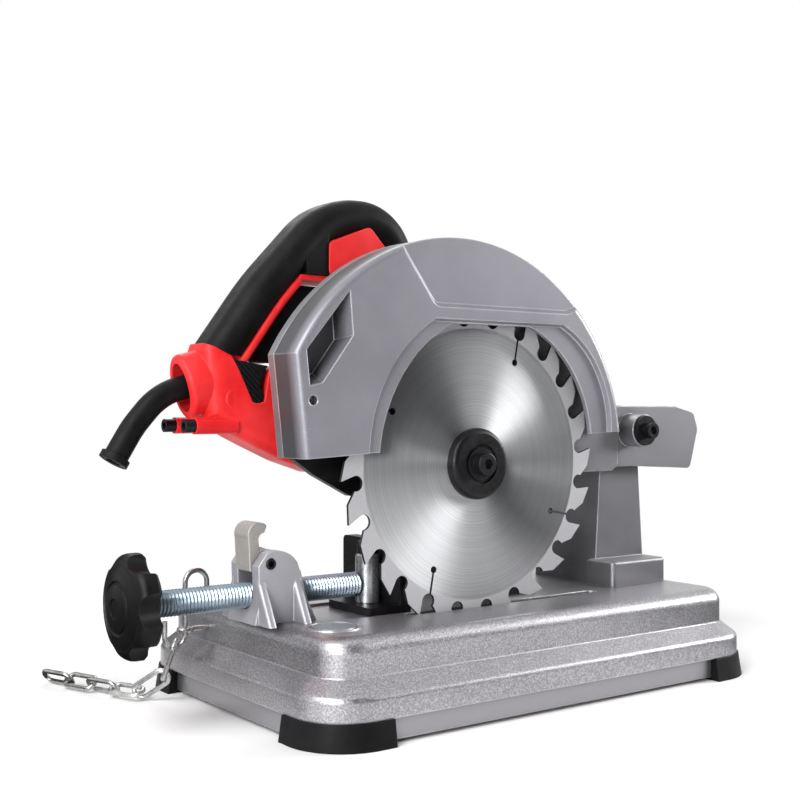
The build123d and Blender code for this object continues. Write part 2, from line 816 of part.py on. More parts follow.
with BuildPart() as jaw_bolt:
    peg(jaw_post_x, screw_y, jaw_post_top - jaw_bolt_length, jaw_post_top, jaw_bolt_radius)
    peg(jaw_post_x, screw_y, jaw_post_top, jaw_post_top + jaw_cap_height, jaw_cap_radius)
    fillet(jaw_bolt.faces().sort_by(Axis.Z)[-1].edges(), jaw_cap_round)
    with BuildSketch(Plane.XY.offset(jaw_post_top + jaw_cap_height)):
        with Locations((jaw_post_x, screw_y)):
            RegularPolygon(socket_radius, 6)
    extrude(amount=-socket_depth, mode=Mode.SUBTRACT)
write(jaw_bolt, "jaw_bolt")

jaw_face = jaw_post_x + jaw_post_radius + 1 + jaw_thickness
with BuildPart() as jaw_plate:
    jaw_sides = (screw_y - jaw_width / 2, screw_y + jaw_width / 2)
    upright_sides = (jaw_sides[0], jaw_sides[1] + jaw_reach)
    block((jaw_face - jaw_thickness, jaw_face), upright_sides, (deck_z + running_fit, jaw_top))
    fillet(jaw_plate.faces().sort_by(Axis.Z)[-1].edges().filter_by(Axis.X), jaw_corner)
    block((jaw_face - jaw_foot_length, jaw_face), jaw_sides, (jaw_low, jaw_low + jaw_foot_height))
    peg(jaw_post_x, screw_y, jaw_low - 1, post_low + 1, jaw_stud_radius + running_fit, mode=Mode.SUBTRACT)
write(jaw_plate, "jaw_plate")

# Fence: a steel angle on the deck
with BuildPart() as fence:
    fence_ends = (fence_near, fence_near + fence_length)
    block((fence_x, fence_x + fence_thickness), fence_ends, (deck_z, fence_top))
    block((fence_x, fence_x + fence_thickness + fence_foot), fence_ends, (deck_z, deck_z + fence_thickness))
    with BuildSketch(Plane.XY.offset(deck_z + fence_thickness)):
        with Locations(*fence_bolt_places):
            SlotOverall(fence_slot, 2 * (post_bolt_radius + fit))
    extrude(amount=-fence_thickness, mode=Mode.SUBTRACT)
    fillet(fence.faces().sort_by(Axis.Z)[-1].edges().filter_by(Axis.X), fence_corner)
write(fence, "fence")

bolt_length = deck_thickness + plinth_height - plinth_corner - 1
base_bolt = (post_bolt_radius, bolt_length, bolt_head_radius, bolt_head_height)
with BuildPart() as base_bolts:
    for x, y in post_bolt_places:
        z_screw(x, y, deck_under, 1, *base_bolt)
    for x, y in fence_bolt_places:
        z_screw(x, y, deck_z + fence_thickness, -1, *base_bolt)
write(base_bolts, "base_bolts")

# Hold-down hook of bent wire, held in an eye on the end wall of the base
eye_radius = hook_wire + eye_wire + running_fit
with BuildPart() as anchor_eye:
    with BuildSketch(Plane.XZ.offset(-hook_y)):
        with Locations((hook_shank_x + eye_radius, eye_z)):
            Circle(eye_wire)
    revolve(axis=Axis((hook_shank_x, hook_y, eye_z), (0, 0, 1)))
    rod(hook_shank_x + eye_radius, -hollow_length / 2, hook_y, eye_z, eye_wire)
write(anchor_eye, "anchor_eye")

with BuildPart() as hold_down_hook:
    low_left = hook_shank_x - 2 * hook_low_bend
    low_middle = hook_shank_x - hook_low_bend
    high_middle = hook_shank_x + hook_high_bend
    high_right = hook_shank_x + 2 * hook_high_bend
    lip = (high_right, hook_high - hook_lip)
    lip_middle = (high_right + hook_lip * 0.29, hook_high - hook_lip * 1.71)
    lip_end = (high_right + hook_lip, hook_high - 2 * hook_lip)
    with BuildLine(side(hook_y)) as hook_path:
        Line((low_left, hook_low + hook_tail), (low_left, hook_low))
        ThreePointArc((low_left, hook_low), (low_middle, hook_low - hook_low_bend), (hook_shank_x, hook_low))
        Line((hook_shank_x, hook_low), (hook_shank_x, hook_high))
        over = (high_middle, hook_high + hook_high_bend)
        ThreePointArc((hook_shank_x, hook_high), over, (high_right, hook_high))
        Line((high_right, hook_high), lip)
        ThreePointArc(lip, lip_middle, lip_end)
    with BuildSketch(Plane((low_left, hook_y, hook_low + hook_tail), z_dir=(0, 0, -1))):
        Circle(hook_wire)
    sweep()
write(hold_down_hook, "hold_down_hook")

# Chain: each link goes from one joint to the next and is rolled across its neighbour
link_pitch = link_length - 4 * link_wire - link_play
link_bend = link_width / 2 - link_wire
link_half = (link_length - link_width) / 2
rest_height = link_bend * sin(radians(link_roll)) + link_wire
hang_top = hook_low - hook_low_bend + hook_wire + link_play / 2
drop = (hang_top - link_pitch * cos(radians(link_lean)) - rest_height) / link_pitch
slope = sqrt(1 - drop * drop)
up = Vector(0, 0, 1)
leave_way = Vector(-0.61, 0.79, 0).normalized()
floor_way = Vector(-0.34, 0.94, 0).normalized()
hang_way = leave_way * sin(radians(link_lean)) - up * cos(radians(link_lean))
chain_ways = [hang_way, leave_way * slope - up * drop] + [floor_way] * 4
chain_rolls = [20, -70, 20, -link_roll, 90 - link_roll, -link_roll]
with BuildPart() as hold_down_chain:
    joint = Vector(hook_shank_x - hook_low_bend, hook_y, hang_top)
    for way, roll in zip(chain_ways, chain_rolls):
        following = joint + way * link_pitch
        across = up.cross(way).normalized()
        facing = way.cross(across) * cos(radians(roll)) + across * sin(radians(roll))
        link_plane = Plane((joint + following) * 0.5, x_dir=way, z_dir=facing)
        with BuildLine(link_plane) as link_path:
            Line((-link_half, -link_bend), (link_half, -link_bend))
            ThreePointArc((link_half, -link_bend), (link_half + link_bend, 0), (link_half, link_bend))
            Line((link_half, link_bend), (-link_half, link_bend))
            ThreePointArc((-link_half, link_bend), (-link_half - link_bend, 0), (-link_half, -link_bend))
        start = link_plane.from_local_coords(Vector(-link_half, -link_bend, 0))
        with BuildSketch(Plane(start, z_dir=way)):
            Circle(link_wire)
        sweep(path=link_path.wires()[0])
        joint = following
write(hold_down_chain, "hold_down_chain")

# Return spring: one wire wound round the pivot shaft between the column and the far cheek
spring_near = column_far + spring_wire + 0.6
spring_length = far_cheek_near - 0.6 - spring_wire - spring_near
quarters = 4 * spring_turns


def on_spring(turn):
    """Point and direction on the spring's middle line after a number of turns."""
    angle = 2 * pi * turn
    rise = spring_length / spring_turns
    x = pivot_x + spring_radius * cos(angle)
    z = pivot_z + spring_radius * sin(angle)
    across = 2 * pi * spring_radius
    way = Vector(-across * sin(angle), rise, across * cos(angle)).normalized()
    return Vector(x, spring_near + rise * turn, z), way


def biarc(start, start_way, end, end_way):
    """Two arcs that run from start to end and meet with one direction."""
    chord = end - start
    ways = start_way + end_way
    bend = 2 * (1 - start_way.dot(end_way))
    reach = (sqrt(chord.dot(ways) ** 2 + 2 * bend * chord.dot(chord)) - chord.dot(ways)) / bend
    first = start + start_way * reach
    second = end - end_way * reach
    middle = (first + second) * 0.5
    TangentArc(start, middle, tangent=start_way)
    TangentArc(middle, end, tangent=(second - first).normalized())


turn_points = [on_spring(i / 40)[0] for i in range(40 * spring_turns + 1)]
spring_gap = min(
    (a - b).length - 2 * spring_wire for i, a in enumerate(turn_points) for b in turn_points[i + 20:]
)
print("return spring, least gap between turns:", round(spring_gap, 2))
with BuildPart() as return_spring:
    with BuildLine() as spring_path:
        first_point, first_way = on_spring(0)
        last_point, last_way = on_spring(spring_turns)
        Line(first_point - first_way * spring_leg, first_point)
        for i in range(quarters):
            biarc(*on_spring(i / 4), *on_spring((i + 1) / 4))
        Line(last_point, last_point + last_way * spring_leg)
    with BuildSketch(Plane(first_point - first_way * spring_leg, z_dir=first_way)):
        Circle(spring_wire)
    sweep(path=spring_path.wires()[0])
write(return_spring, "return_spring")

# Outline shared by the guard and its back plate
guard_left_low = (-149.5, 141)
guard_left_high = (-155.5, 195)
guard_crown = (-42, 262)
guard_right = (79, 152.5)
guard_low = 120
gauge_hole_place = (-145, 171)


def guard_outline():
    with BuildSketch(Plane.XZ) as face:
        with BuildLine():
            Line(guard_left_low, guard_left_high)
            ThreePointArc(guard_left_high, guard_crown, guard_right)
            Line(guard_right, guard_left_low)
        make_face()
    return face.sketch


def arch(left_foot, left_bend, left_shoulder, right_shoulder, right_bend, right_foot):
    """Face with a flat top between two rounded shoulders, running down past the guard's lower edge."""
    with BuildSketch(Plane.XZ) as face:
        with BuildLine():
            Line((left_foot[0], guard_low), left_foot)
            ThreePointArc(left_foot, left_bend, left_shoulder)
            Line(left_shoulder, right_shoulder)
            ThreePointArc(right_shoulder, right_bend, right_foot)
            Polyline(right_foot, (right_foot[0], guard_low), (left_foot[0], guard_low))
        make_face()
    return face.sketch


guard_screw_places = [(66.5, 180), (-3, 243.5), (-88, 238.5), (-137, 155)]
window_points = [(-122.5, 228.5), (-120.5, 205), (-139.5, 180), (-147, 178.5), (-149, 197)]
panel_points = [(-92, 262), (-64.7, 225), (33, 225), (45, 229.5), (60, 270)]
step_face = arch((-109, 142), (-96.2, 185.5), (-65.5, 215), (29.5, 215), (54.3, 195.5), (68.5, 152))
hole_face = arch((-101.5, 144), (-84.5, 187.5), (-52, 214.2), (6, 214.2), (35.5, 194.5), (55, 152))

guard_inside = offset(guard_outline(), amount=-guard_wall)
inside_near = guard_near + guard_face
window_middle = [sum(values) / len(window_points) for values in zip(*window_points)]
window_floor = [
    tuple(middle + (value - middle) * window_narrowing for value, middle in zip(point, window_middle))
    for point in window_points
]
window_back = offset(outline(window_points), amount=window_wall)
with BuildPart() as blade_guard:
    slab(guard_outline(), guard_near, guard_seam)
    rim_edges = [e for e in blade_guard.edges() if abs(e.center().Y - guard_near) < 0.01]
    fillet([e for e in rim_edges if e.center().Z > guard_right[1] + 2], guard_edge)
    slab(guard_inside, inside_near, guard_seam, mode=Mode.SUBTRACT)
    open_ends = (guard_left_low[0] + guard_wall, guard_right[0] - guard_wall)
    block(open_ends, (inside_near, guard_seam), (guard_low, guard_right[1] + 6), mode=Mode.SUBTRACT)
    slab(window_back, inside_near - 1, guard_near + window_depth + window_wall)
    window_mouth = Pos(0, guard_near, 0) * outline(window_points)
    loft([window_mouth, Pos(0, guard_near + window_depth, 0) * outline(window_floor)], mode=Mode.SUBTRACT)
    for place in guard_screw_places:
        disc(place, inside_near - 1, guard_seam, guard_boss_radius)
        hole_near = plate_far - guard_screw_length
        disc(place, hole_near, guard_seam + 1, head_screw_radius + fit, mode=Mode.SUBTRACT)
    slab(hole_face, guard_near, inside_near, mode=Mode.SUBTRACT)
    step_floor = Pos(0, guard_near + guard_step, 0) * step_face
    extrude(step_floor, amount=guard_step, taper=-step_slope, mode=Mode.SUBTRACT)
    panel_floor = Pos(0, guard_near + panel_recess, 0) * rounded_outline(panel_points, panel_corner)
    extrude(panel_floor, amount=panel_recess, taper=-45, mode=Mode.SUBTRACT)
    disc(gauge_hole_place, guard_near - 1, inside_near - 1, gauge_hole_radius, mode=Mode.SUBTRACT)
write(blade_guard, "blade_guard")

# Gear case: the back plate of the guard and the cup round the gears, one casting
case_screw_places = [around(spindle_axis, spindle_case_radius + 4, a) for a in (205, 335)]
case_screw_places += [around(motor_axis, motor_radius + 4, a) for a in (40, 115)]
bracket_bolt_places = [(66, 160), (pivot_x - 29, 143), (66, 138)]
lug_end = pivot_x - 17
lug_points = [(40, 142), (79, 165), (lug_end, 158), (lug_end, 131), (lug_end - 5, 127), (58, 127)]
with BuildPart() as gear_case:
    slab(guard_outline(), guard_seam, plate_far)
    slab(outline(lug_points), guard_seam, plate_far)
    slab(case_outline(), guard_seam + 1, case_far)
    for place in case_screw_places:
        disc(place, plate_far, case_far, case_ear_radius)
    slab(case_outline(-case_wall), plate_far, case_far, mode=Mode.SUBTRACT)
    bearing_far = spindle_bearing_near + spindle_bearing_width
    disc(spindle_axis, plate_far - 1, bearing_far, spindle_bearing_radius + case_wall)
    seat_radius = spindle_bearing_radius + fit
    disc(spindle_axis, spindle_bearing_near, bearing_far + 1, seat_radius, mode=Mode.SUBTRACT)
    mouth_radius = spindle_bearing_radius - bearing_lip
    disc(spindle_axis, guard_seam - 1, spindle_bearing_near + 1, mouth_radius, mode=Mode.SUBTRACT)
    for place in case_screw_places:
        disc(place, case_far - case_screw_length, case_far + 1, head_screw_radius + fit, mode=Mode.SUBTRACT)
    for place in guard_screw_places:
        disc(place, guard_seam - 1, plate_far + 1, head_screw_radius + fit, mode=Mode.SUBTRACT)
    for place in bracket_bolt_places:
        disc(place, guard_seam + 1.5, plate_far + 1, head_screw_radius + fit, mode=Mode.SUBTRACT)
write(gear_case, "gear_case")

# Black chip deflector under the front of the back plate
deflector_points = [
    (-143, 150), (-100, 150), (-88, 136), (-88, 117), (-104, 119), (-127, 131), (-140, 140),
]
with BuildPart() as chip_deflector:
    deflector_far = plate_far + deflector_thickness
    slab(outline(deflector_points), plate_far, deflector_far)
    fillet(chip_deflector.edges().filter_by(Axis.Y), deflector_corner)
    head_hole = screw_head_radius + head_room
    disc(guard_screw_places[-1], plate_far - 1, deflector_far + 1, head_hole, mode=Mode.SUBTRACT)
write(chip_deflector, "chip_deflector")

# Pivot bracket: two cheeks and a rear web that reach round the post
bracket_back = [
    (bracket_rear - 22, bracket_high), (bracket_rear - 4, 164), (bracket_rear, pivot_z),
]
near_cheek = [(58, 166), (pivot_x - 15, bracket_high)] + bracket_back + [
    (bracket_rear - 8, bracket_low), (pivot_x + 1, bracket_low + 3), (pivot_x - 21, 129), (58, 131),
]
far_cheek = [
    (pivot_x - 12, bracket_web_low), (pivot_x - 17, pivot_z), (pivot_x - 12, bracket_high),
] + bracket_back + [(bracket_rear - 4, bracket_web_low)]
web_rear = bracket_rear - 4
with BuildPart() as pivot_bracket:
    slab(outline(near_cheek), plate_far, cheek_far)
    slab(outline(far_cheek), far_cheek_near, bracket_far)
    back_edges = [e for e in pivot_bracket.edges().filter_by(Axis.Y) if e.center().X > bracket_rear - 30]
    fillet(back_edges, bracket_round)
    web_sides = (cheek_far - 1, far_cheek_near + 1)
    block((web_rear - bracket_web, web_rear), web_sides, (bracket_web_low, bracket_web_high))
    disc(pivot_axis, pivot_boss_near, plate_far + 1, pivot_boss_radius)
    disc(pivot_axis, pivot_boss_near - 1, bracket_far + 1, pivot_radius + fit, mode=Mode.SUBTRACT)
    for place in bracket_bolt_places:
        disc(place, plate_far - 1, cheek_far + 1, head_screw_radius + fit, mode=Mode.SUBTRACT)
write(pivot_bracket, "pivot_bracket")

with BuildPart() as pivot_shaft:
    disc(pivot_axis, pivot_boss_near, bracket_far, pivot_radius)
    near_hole = (pivot_boss_near - 1, pivot_boss_near + pivot_bolt_length)
    far_hole = (bracket_far - pivot_bolt_length, bracket_far + 1)
    for y_near, y_far in (near_hole, far_hole):
        disc(pivot_axis, y_near, y_far, pivot_bolt_radius + fit, mode=Mode.SUBTRACT)
write(pivot_shaft, "pivot_shaft")

near_washer = pivot_boss_near - pivot_washer_height
far_washer = bracket_far + pivot_washer_height
with BuildPart() as pivot_washers:
    for y_near, y_far in ((near_washer, pivot_boss_near), (bracket_far, far_washer)):
        disc(pivot_axis, y_near, y_far, pivot_washer_radius)
        disc(pivot_axis, y_near - 1, y_far + 1, pivot_bolt_radius + fit, mode=Mode.SUBTRACT)
write(pivot_washers, "pivot_washers")

pivot_bolt = (pivot_bolt_radius, pivot_bolt_length, pivot_head_radius, pivot_head_height)
with BuildPart() as pivot_bolts:
    y_screw(pivot_axis, near_washer, 1, *pivot_bolt)
    y_screw(pivot_axis, far_washer, -1, *pivot_bolt)
write(pivot_bolts, "pivot_bolts")

# Saw blade: hooked teeth with round gullets and four expansion slots


def on_blade(radius, along):
    """Point on the blade from its radius and its distance along the rim from the first tooth tip."""
    angle = radians(tooth_phase) + along / blade_radius
    return (blade_x + radius * cos(angle), blade_z + radius * sin(angle))


tooth_pitch = 2 * pi * blade_radius / blade_teeth
gullet_middle = gullet_radius - rake_back
with BuildPart() as saw_blade:
    with BuildSketch(side(blade_far)):
        with BuildLine():
            for i in range(blade_teeth):
                s = i * tooth_pitch
                tip_point = on_blade(blade_radius, s)
                face_end = on_blade(blade_radius - rake_depth, s - rake_back)
                gullet_low = on_blade(blade_radius - gullet_depth, s + gullet_middle)
                gullet_end = on_blade(blade_radius - rake_depth + 1, s + gullet_middle + gullet_radius)
                back_end = on_blade(blade_radius - back_drop, s + back_start)
                Line(tip_point, face_end)
                ThreePointArc(face_end, gullet_low, gullet_end)
                Polyline(gullet_end, back_end, on_blade(blade_radius, s + tooth_pitch))
        make_face()
        with Locations(spindle_axis):
            Circle(arbor_radius, mode=Mode.SUBTRACT)
    extrude(amount=blade_thickness)
    for i in range(4):
        s = (4 + 6 * i) * tooth_pitch + gullet_middle
        outer_end = on_blade(blade_radius - gullet_depth + 1, s)
        inner_end = on_blade(slot_reach, s - radians(slot_slant) * blade_radius)
        with BuildSketch(side(blade_far)):
            with BuildLine():
                Line(inner_end, outer_end)
            trace(line_width=slot_width)
            with Locations(inner_end):
                Circle(slot_hole)
        extrude(amount=blade_thickness, mode=Mode.SUBTRACT)
write(saw_blade, "saw_blade")

flange_far = blade_far + inner_flange_height
with BuildPart() as inner_flange:
    disc(spindle_axis, blade_far, flange_far, inner_flange_radius)
    disc(spindle_axis, blade_near + fit, blade_far, arbor_radius - fit)
    disc(spindle_axis, flange_far, spindle_bearing_near - fit, spindle_radius + spindle_shoulder)
    disc(spindle_axis, blade_near - 1, spindle_bearing_near + 1, spindle_radius + fit, mode=Mode.SUBTRACT)
write(inner_flange, "inner_flange")

flange_near = blade_near - outer_flange_height
with BuildPart() as outer_flange:
    disc(spindle_axis, flange_near, blade_near, outer_flange_radius)
    fillet(outer_flange.edges().sort_by(Axis.Y)[0], flange_edge)
    bolt_face = flange_near + flange_dish_depth
    disc(spindle_axis, flange_near - 1, bolt_face, flange_dish_radius, mode=Mode.SUBTRACT)
    disc(spindle_axis, flange_near - 1, blade_near + 1, arbor_bolt_radius + fit, mode=Mode.SUBTRACT)
write(outer_flange, "outer_flange")

with BuildPart() as arbor_bolt:
    collar_near = bolt_face - arbor_collar_height
    head_near = collar_near - arbor_head_height
    disc(spindle_axis, bolt_face, blade_near + arbor_bolt_length, arbor_bolt_radius)
    disc(spindle_axis, collar_near, bolt_face, arbor_collar_radius)
    disc(spindle_axis, head_near, collar_near, arbor_head_radius)
    fillet(arbor_bolt.edges().sort_by(Axis.Y)[0], 1)
    with BuildSketch(side(head_near)):
        with Locations(spindle_axis):
            RegularPolygon(socket_radius, 6)
    extrude(amount=-socket_depth, mode=Mode.SUBTRACT)
write(arbor_bolt, "arbor_bolt")

with BuildPart() as spindle:
    disc(spindle_axis, blade_near, spindle_far, spindle_radius)
    disc(spindle_axis, bearing_far, gear_near, spindle_radius + spindle_shoulder)
    bolt_end = blade_near + arbor_bolt_length + 1
    disc(spindle_axis, blade_near - 1, bolt_end, arbor_bolt_radius + fit, mode=Mode.SUBTRACT)
write(spindle, "spindle")


# Gears with thin straight-flanked teeth that leave backlash
def gear_face(axis, teeth, phase):
    pitch_radius = gear_module * teeth / 2
    tip = (pitch_radius + 0.75 * gear_module, 0.34 * gear_module)
    root = (pitch_radius - 1.15 * gear_module, 0.8 * gear_module)
    points = []
    for i in range(teeth):
        middle = phase + 360 * i / teeth
        for (radius, half_width), s in ((root, -1), (tip, -1), (tip, 1), (root, 1)):
            points.append(around(axis, radius, middle + s * half_width / radius * 180 / pi))
    return outline(points)


mesh_angle = 90 - gear_tilt
with BuildPart() as drive_gear:
    slab(gear_face(spindle_axis, gear_teeth, mesh_angle), gear_near, gear_far)
    disc(spindle_axis, gear_near - 1, gear_far + 1, spindle_radius + fit, mode=Mode.SUBTRACT)
write(drive_gear, "drive_gear")

with BuildPart() as pinion:
    slab(gear_face(motor_axis, pinion_teeth, mesh_angle + 180 + 180 / pinion_teeth), gear_near, gear_far)
    disc(motor_axis, gear_near - 1, gear_far + 1, armature_shaft_radius - 0.5 + fit, mode=Mode.SUBTRACT)
write(pinion, "pinion")


def bearing(axis, y_near, width, inner, outer):
    """Shielded ball bearing: a ring with a shallow groove between its races on both faces."""
    race = (outer - inner) * 0.3
    with BuildSketch(Plane.XY.offset(axis[1])) as half:
        with Locations((axis[0] + (inner + outer) / 2, y_near + width / 2)):
            Rectangle(outer - inner, width)
            with Locations((0, -width / 2), (0, width / 2)):
                Rectangle(outer - inner - 2 * race, 1.2, mode=Mode.SUBTRACT)
    revolve(half.sketch, axis=Axis((axis[0], 0, axis[1]), (0, 1, 0)))


small_bearing = (small_bearing_near, small_bearing_width)
with BuildPart() as spindle_bearings:
    bore = spindle_radius + fit
    bearing(spindle_axis, spindle_bearing_near, spindle_bearing_width, bore, spindle_bearing_radius)
    bearing(spindle_axis, *small_bearing, bore, small_bearing_radius)
write(spindle_bearings, "spindle_bearings")

with BuildPart() as armature_bearings:
    bore = armature_shaft_radius + fit
    bearing(motor_axis, *small_bearing, bore, small_bearing_radius)
    bearing(motor_axis, rear_bearing_near, rear_bearing_width, bore, rear_bearing_radius)
write(armature_bearings, "armature_bearings")

# Bearing plate between the gear case and the motor
with BuildPart() as bearing_plate:
    slab(case_outline(), case_far, bearing_plate_far)
    for place in case_screw_places:
        disc(place, case_far, bearing_plate_far, case_ear_radius)
        disc(place, case_far - 1, bearing_plate_far + 1, head_screw_radius + fit, mode=Mode.SUBTRACT)
    pocket_far = small_bearing_near + small_bearing_width
    for axis, through in ((spindle_axis, spindle_radius + 0.5), (motor_axis, armature_shaft_radius + 1)):
        disc(axis, case_far - 1, pocket_far, small_bearing_radius + fit, mode=Mode.SUBTRACT)
        disc(axis, pocket_far - 1, bearing_plate_far + 1, through, mode=Mode.SUBTRACT)
write(bearing_plate, "bearing_plate")

# Motor housing: a barrel with a pod that closes the finger gap of the handle
cap_screw_places = [around(motor_axis, motor_radius + 4, a) for a in (20, 70, 200, 290)]
pod_points = [(-86, 187.4), (-86, 212), (-76, 222), (-52, 222), (-52, 187.4)]
brush_ways = (-1, 1)
brush_face = motor_radius + 2
with BuildPart() as motor_housing:
    disc(motor_axis, bearing_plate_far, motor_far, motor_radius)
    slab(outline(pod_points), bearing_plate_far, pod_far)
    pod_edges = [e for e in motor_housing.edges().filter_by(Axis.Y) if e.center().X < pod_points[2][0] + 1]
    fillet([e for e in pod_edges if e.center().Z > pod_points[0][1] + 1], pod_round)
    for place in cap_screw_places:
        disc(place, motor_far - cap_ear_length, motor_far, cap_ear_radius)
    for s in brush_ways:
        ends = sorted((motor_x + s * (motor_radius - motor_wall - 1), motor_x + s * brush_face))
        rod(*ends, brush_y, motor_z, brush_cap_radius + 2)
    disc(motor_axis, bearing_plate_far - 1, motor_far + 1, motor_radius - motor_wall, mode=Mode.SUBTRACT)
    for place in cap_screw_places:
        hole_near = motor_far - cap_ear_length + 1
        disc(place, hole_near, motor_far + 1, head_screw_radius + fit, mode=Mode.SUBTRACT)
    for s in brush_ways:
        ends = sorted((motor_x, motor_x + s * (brush_face + 1)))
        rod(*ends, brush_y, motor_z, brush_tube_radius + fit, mode=Mode.SUBTRACT)
    # Air outlets beside the fan
    for a in range(-60, 61, 20):
        x, z = around(motor_axis, motor_radius, a)
        with Locations(Location((x, (fan_near + fan_far) / 2, z), (0, -a, 0))):
            with Locations((0, 0, 0), (0, outlet_step, 0)):
                Box(*outlet_size, mode=Mode.SUBTRACT)
write(motor_housing, "motor_housing")

# Motor end cap with air inlets and a pocket for the rear bearing
with BuildPart() as motor_end_cap:
    disc(motor_axis, motor_far, cap_far, motor_radius)
    fillet(motor_end_cap.edges().sort_by(Axis.Y)[-1], cap_round)
    for place in cap_screw_places:
        disc(place, motor_far, cap_far - cap_ear_drop, cap_ear_radius)
    disc(motor_axis, motor_far - 1, cap_far - motor_wall, motor_radius - motor_wall - 2, mode=Mode.SUBTRACT)
    boss_far = rear_bearing_near + rear_bearing_width
    disc(motor_axis, rear_bearing_near, cap_far - 1, rear_bearing_radius + 3)
    disc(motor_axis, motor_far - 1, boss_far, rear_bearing_radius + fit, mode=Mode.SUBTRACT)
    for place in cap_screw_places:
        disc(place, motor_far - 1, cap_far, head_screw_radius + fit, mode=Mode.SUBTRACT)
    with BuildSketch(side(cap_far + 1)):
        with Locations(motor_axis):
            with PolarLocations(inlet_circle, inlet_count):
                SlotOverall(inlet_length, inlet_width)
    extrude(amount=motor_wall + 2, mode=Mode.SUBTRACT)
write(motor_end_cap, "motor_end_cap")

# Stator: a laminated ring with two coils in its windows
with BuildPart() as stator:
    disc(motor_axis, stator_near, stator_far, motor_radius - motor_wall - fit)
    disc(motor_axis, stator_near - 1, stator_far + 1, stator_bore, mode=Mode.SUBTRACT)
    for s in (-1, 1):
        middle = motor_x + s * coil_offset
        block(
            (middle - coil_width / 2, middle + coil_width / 2),
            (stator_near - 1, stator_far + 1),
            (motor_z - coil_height / 2, motor_z + coil_height / 2),
            mode=Mode.SUBTRACT,
        )
write(stator, "stator")

with BuildPart() as field_coils:
    for s in (-1, 1):
        middle = motor_x + s * coil_offset
        half_width = coil_width / 2 - fit
        half_height = coil_height / 2 - fit
        block(
            (middle - half_width, middle + half_width),
            (stator_near - coil_overhang, stator_far + coil_overhang - 2),
            (motor_z - half_height, motor_z + half_height),
        )
    fillet(field_coils.edges().filter_by(Axis.Z), coil_round)
write(field_coils, "field_coils")

with BuildPart() as armature_shaft:
    disc(motor_axis, gear_far, rear_bearing_near + rear_bearing_width - 0.5, armature_shaft_radius)
    disc(motor_axis, gear_near - 1, gear_far, armature_shaft_radius - 0.5)
write(armature_shaft, "armature_shaft")

with BuildPart() as armature_core:
    disc(motor_axis, stator_near + 1, stator_far - 1, core_radius)
    with BuildSketch(side(stator_far)):
        with Locations(motor_axis):
            with PolarLocations(core_radius, core_slots):
                Rectangle(*core_slot_size)
    extrude(amount=stator_far - stator_near, mode=Mode.SUBTRACT)
    winding_near = stator_near - winding_overhang
    disc(motor_axis, winding_near, commutator_near - 1, core_radius - winding_drop)
    disc(motor_axis, winding_near - 1, commutator_near, armature_shaft_radius + fit, mode=Mode.SUBTRACT)
write(armature_core, "armature_core")

with BuildPart() as commutator:
    disc(motor_axis, commutator_near, commutator_far, commutator_radius)
    with BuildSketch(side(commutator_far)):
        with Locations(motor_axis):
            with PolarLocations(commutator_radius, commutator_bars):
                Rectangle(*commutator_groove)
    extrude(amount=commutator_far - commutator_near, mode=Mode.SUBTRACT)
    shaft_hole = armature_shaft_radius + fit
    disc(motor_axis, commutator_near - 1, commutator_far + 1, shaft_hole, mode=Mode.SUBTRACT)
write(commutator, "commutator")

with BuildPart() as cooling_fan:
    disc(motor_axis, fan_near, fan_near + fan_disc, fan_radius)
    with BuildSketch(side(fan_far)):
        with Locations(motor_axis):
            with PolarLocations((fan_radius + fan_hub_radius + 4) / 2, fan_blades):
                fan_blade_length = fan_radius - fan_hub_radius - 6
                Rectangle(fan_blade_length, fan_blade_thickness, rotation=fan_blade_lean)
    extrude(amount=fan_far - fan_near - 1)
    disc(motor_axis, fan_near, fan_far, fan_hub_radius)
    disc(motor_axis, fan_near - 1, fan_far + 1, armature_shaft_radius + fit, mode=Mode.SUBTRACT)
write(cooling_fan, "cooling_fan")

# Brush gear: tubes through the barrel, brushes in them, caps outside
brush_inner = commutator_radius + 1
with BuildPart() as brush_holders:
    for s in brush_ways:
        ends = sorted((motor_x + s * (brush_inner + 1), motor_x + s * brush_face))
        rod(*ends, brush_y, motor_z, brush_tube_radius)
        ends = sorted((motor_x + s * brush_inner, motor_x + s * (brush_face + 1)))
        half = brush_size / 2 + fit
        block(ends, (brush_y - half, brush_y + half), (motor_z - half, motor_z + half), mode=Mode.SUBTRACT)
write(brush_holders, "brush_holders")

with BuildPart() as carbon_brushes:
    for s in brush_ways:
        ends = sorted((motor_x + s * (commutator_radius + running_fit), motor_x + s * (motor_radius - 14)))
        half = brush_size / 2
        block(ends, (brush_y - half, brush_y + half), (motor_z - half, motor_z + half))
write(carbon_brushes, "carbon_brushes")

with BuildPart() as brush_caps:
    for s in brush_ways:
        face = motor_x + s * brush_face
        rod(*sorted((face, face + s * brush_cap_height)), brush_y, motor_z, brush_cap_radius)
        groove = sorted((face + s * (brush_cap_height - 1), face + s * (brush_cap_height + 1)))
        groove_width = (motor_z - 0.8, motor_z + 0.8)
        block(groove, (brush_y - 6, brush_y + 6), groove_width, mode=Mode.SUBTRACT)
write(brush_caps, "brush_caps")

